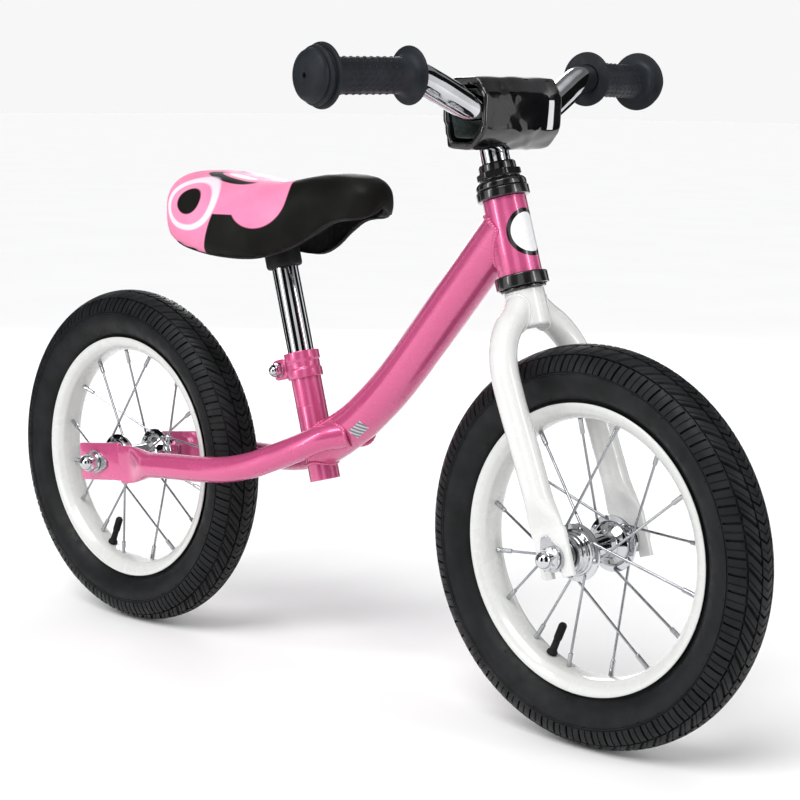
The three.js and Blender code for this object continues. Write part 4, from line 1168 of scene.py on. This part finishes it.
FLOOR_HALF = 30000.0
floor_corners = np.array([(-1, -1, 0), (1, -1, 0), (1, 1, 0), (-1, 1, 0)], float)
floor_look = Surface("floor_paper", Specular_IOR_Level=0.1)
floor_look.colour(floor_look.mix(floor_look.noise(3, 2), (0.90, 0.90, 0.90), (0.94, 0.94, 0.94)))
floor_look.gloss((40,), 0.8, 0.95)
floor_shape = floor_corners * FLOOR_HALF, [(0, 1, 2, 3)]
linked("floor", mesh_of("floor", floor_shape, floor_look.material))

# A pale surround at the horizon, dim walls above it and a bright ceiling
world = bpy.data.worlds.new("studio")
bpy.context.scene.world = world
world.use_nodes = True
sky = world.node_tree
direction = sky.nodes.new("ShaderNodeTexCoord")
split = sky.nodes.new("ShaderNodeSeparateXYZ")
ramp = sky.nodes.new("ShaderNodeValToRGB")
sky.links.new(direction.outputs["Generated"], split.inputs[0])
sky.links.new(split.outputs["Z"], ramp.inputs["Fac"])
sky.links.new(ramp.outputs["Color"], sky.nodes["Background"].inputs["Color"])
stops = ramp.color_ramp.elements
stops[0].position, stops[0].color = 0.36, (0.93, 0.93, 0.94, 1)
stops[1].position, stops[1].color = 1.0, (0.80, 0.80, 0.82, 1)
for height, level in ((0.50, 0.26), (0.80, 0.20), (0.90, 0.80)):
    stops.new(height).color = (level, level, level * 1.02, 1)


def lamp(name, kind, place, power, **settings):
    data = bpy.data.lights.new(name, kind)
    data.energy = power
    for setting, value in settings.items():
        setattr(data, setting, value)
    holder = linked(name, data)
    holder.location = place
    middle = Vector(np.mean([list(corner) for corner in cad_box], axis=0))
    holder.rotation_euler = (middle - Vector(place)).to_track_quat("-Z", "Y").to_euler()
    holder.visible_camera = False


lamp("sun", "SUN", (0.35, -1.4, 2.1), 2.1, angle=math.radians(35))
for name, place, width in (("front_strip", (2.1, 0.3, 0.9), 0.22), ("side_strip", (-0.6, -1.9, 0.9), 0.22),
                           ("back_strip", (-1.5, 1.5, 1.0), 0.25)):
    lamp(name, "AREA", place, 9, shape="RECTANGLE", size=width, size_y=1.5)

# Dark studio flags stand round the object and are seen only in gloss, so that chrome has dark streaks.
FLAG_DISTANCE, FLAG_HALF_TURN, FLAG_HEIGHTS = 1150.0, 15, (10.0, 1200.0)
flag_look = Surface("flag_felt", Specular_IOR_Level=0.0)
flag_look.colour(flag_look.mix(flag_look.noise(5), (0.004, 0.004, 0.004), (0.010, 0.010, 0.010)))
for number, turn in enumerate((-75, -22, 50, 95, 180, -145)):
    arc = np.radians(np.linspace(turn - FLAG_HALF_TURN, turn + FLAG_HALF_TURN, 12))
    rows = [np.stack([FLAG_DISTANCE * np.cos(arc), FLAG_DISTANCE * np.sin(arc), np.full_like(arc, z)], -1)
            for z in FLAG_HEIGHTS]
    sheet = grid(np.stack(rows), wrap_columns=False)
    flag = linked(f"flag_{number}", mesh_of(f"flag_{number}", sheet, flag_look.material))
    flag.visible_camera = flag.visible_diffuse = flag.visible_shadow = False

# The camera, solved from the wheels' ellipses: place in metres, azimuth, elevation and roll in degrees
CAMERA_PLACE, CAMERA_TURNS, LENS, SENSOR = (1.1495, -1.1573, 0.4788), (43.17, 8.66, 0.71), 91.2, 36
camera_data = bpy.data.cameras.new("camera")
camera_data.sensor_width, camera_data.lens = SENSOR, LENS
camera = linked("camera", camera_data)
azimuth, elevation, roll = (math.radians(value) for value in CAMERA_TURNS)
back = Vector((math.sin(azimuth) * math.cos(elevation), -math.cos(azimuth) * math.cos(elevation),
               math.sin(elevation)))
rightwards = (-back).cross(Vector((0, 0, 1))).normalized()
upwards = rightwards.cross(-back)
rolled = rightwards * math.cos(roll) + upwards * math.sin(roll)
risen = upwards * math.cos(roll) - rightwards * math.sin(roll)
camera.matrix_world = Matrix((*zip(rolled, risen, back, CAMERA_PLACE), (0, 0, 0, 1)))
bpy.context.scene.camera = camera
bpy.context.scene.view_settings.view_transform = "Standard"
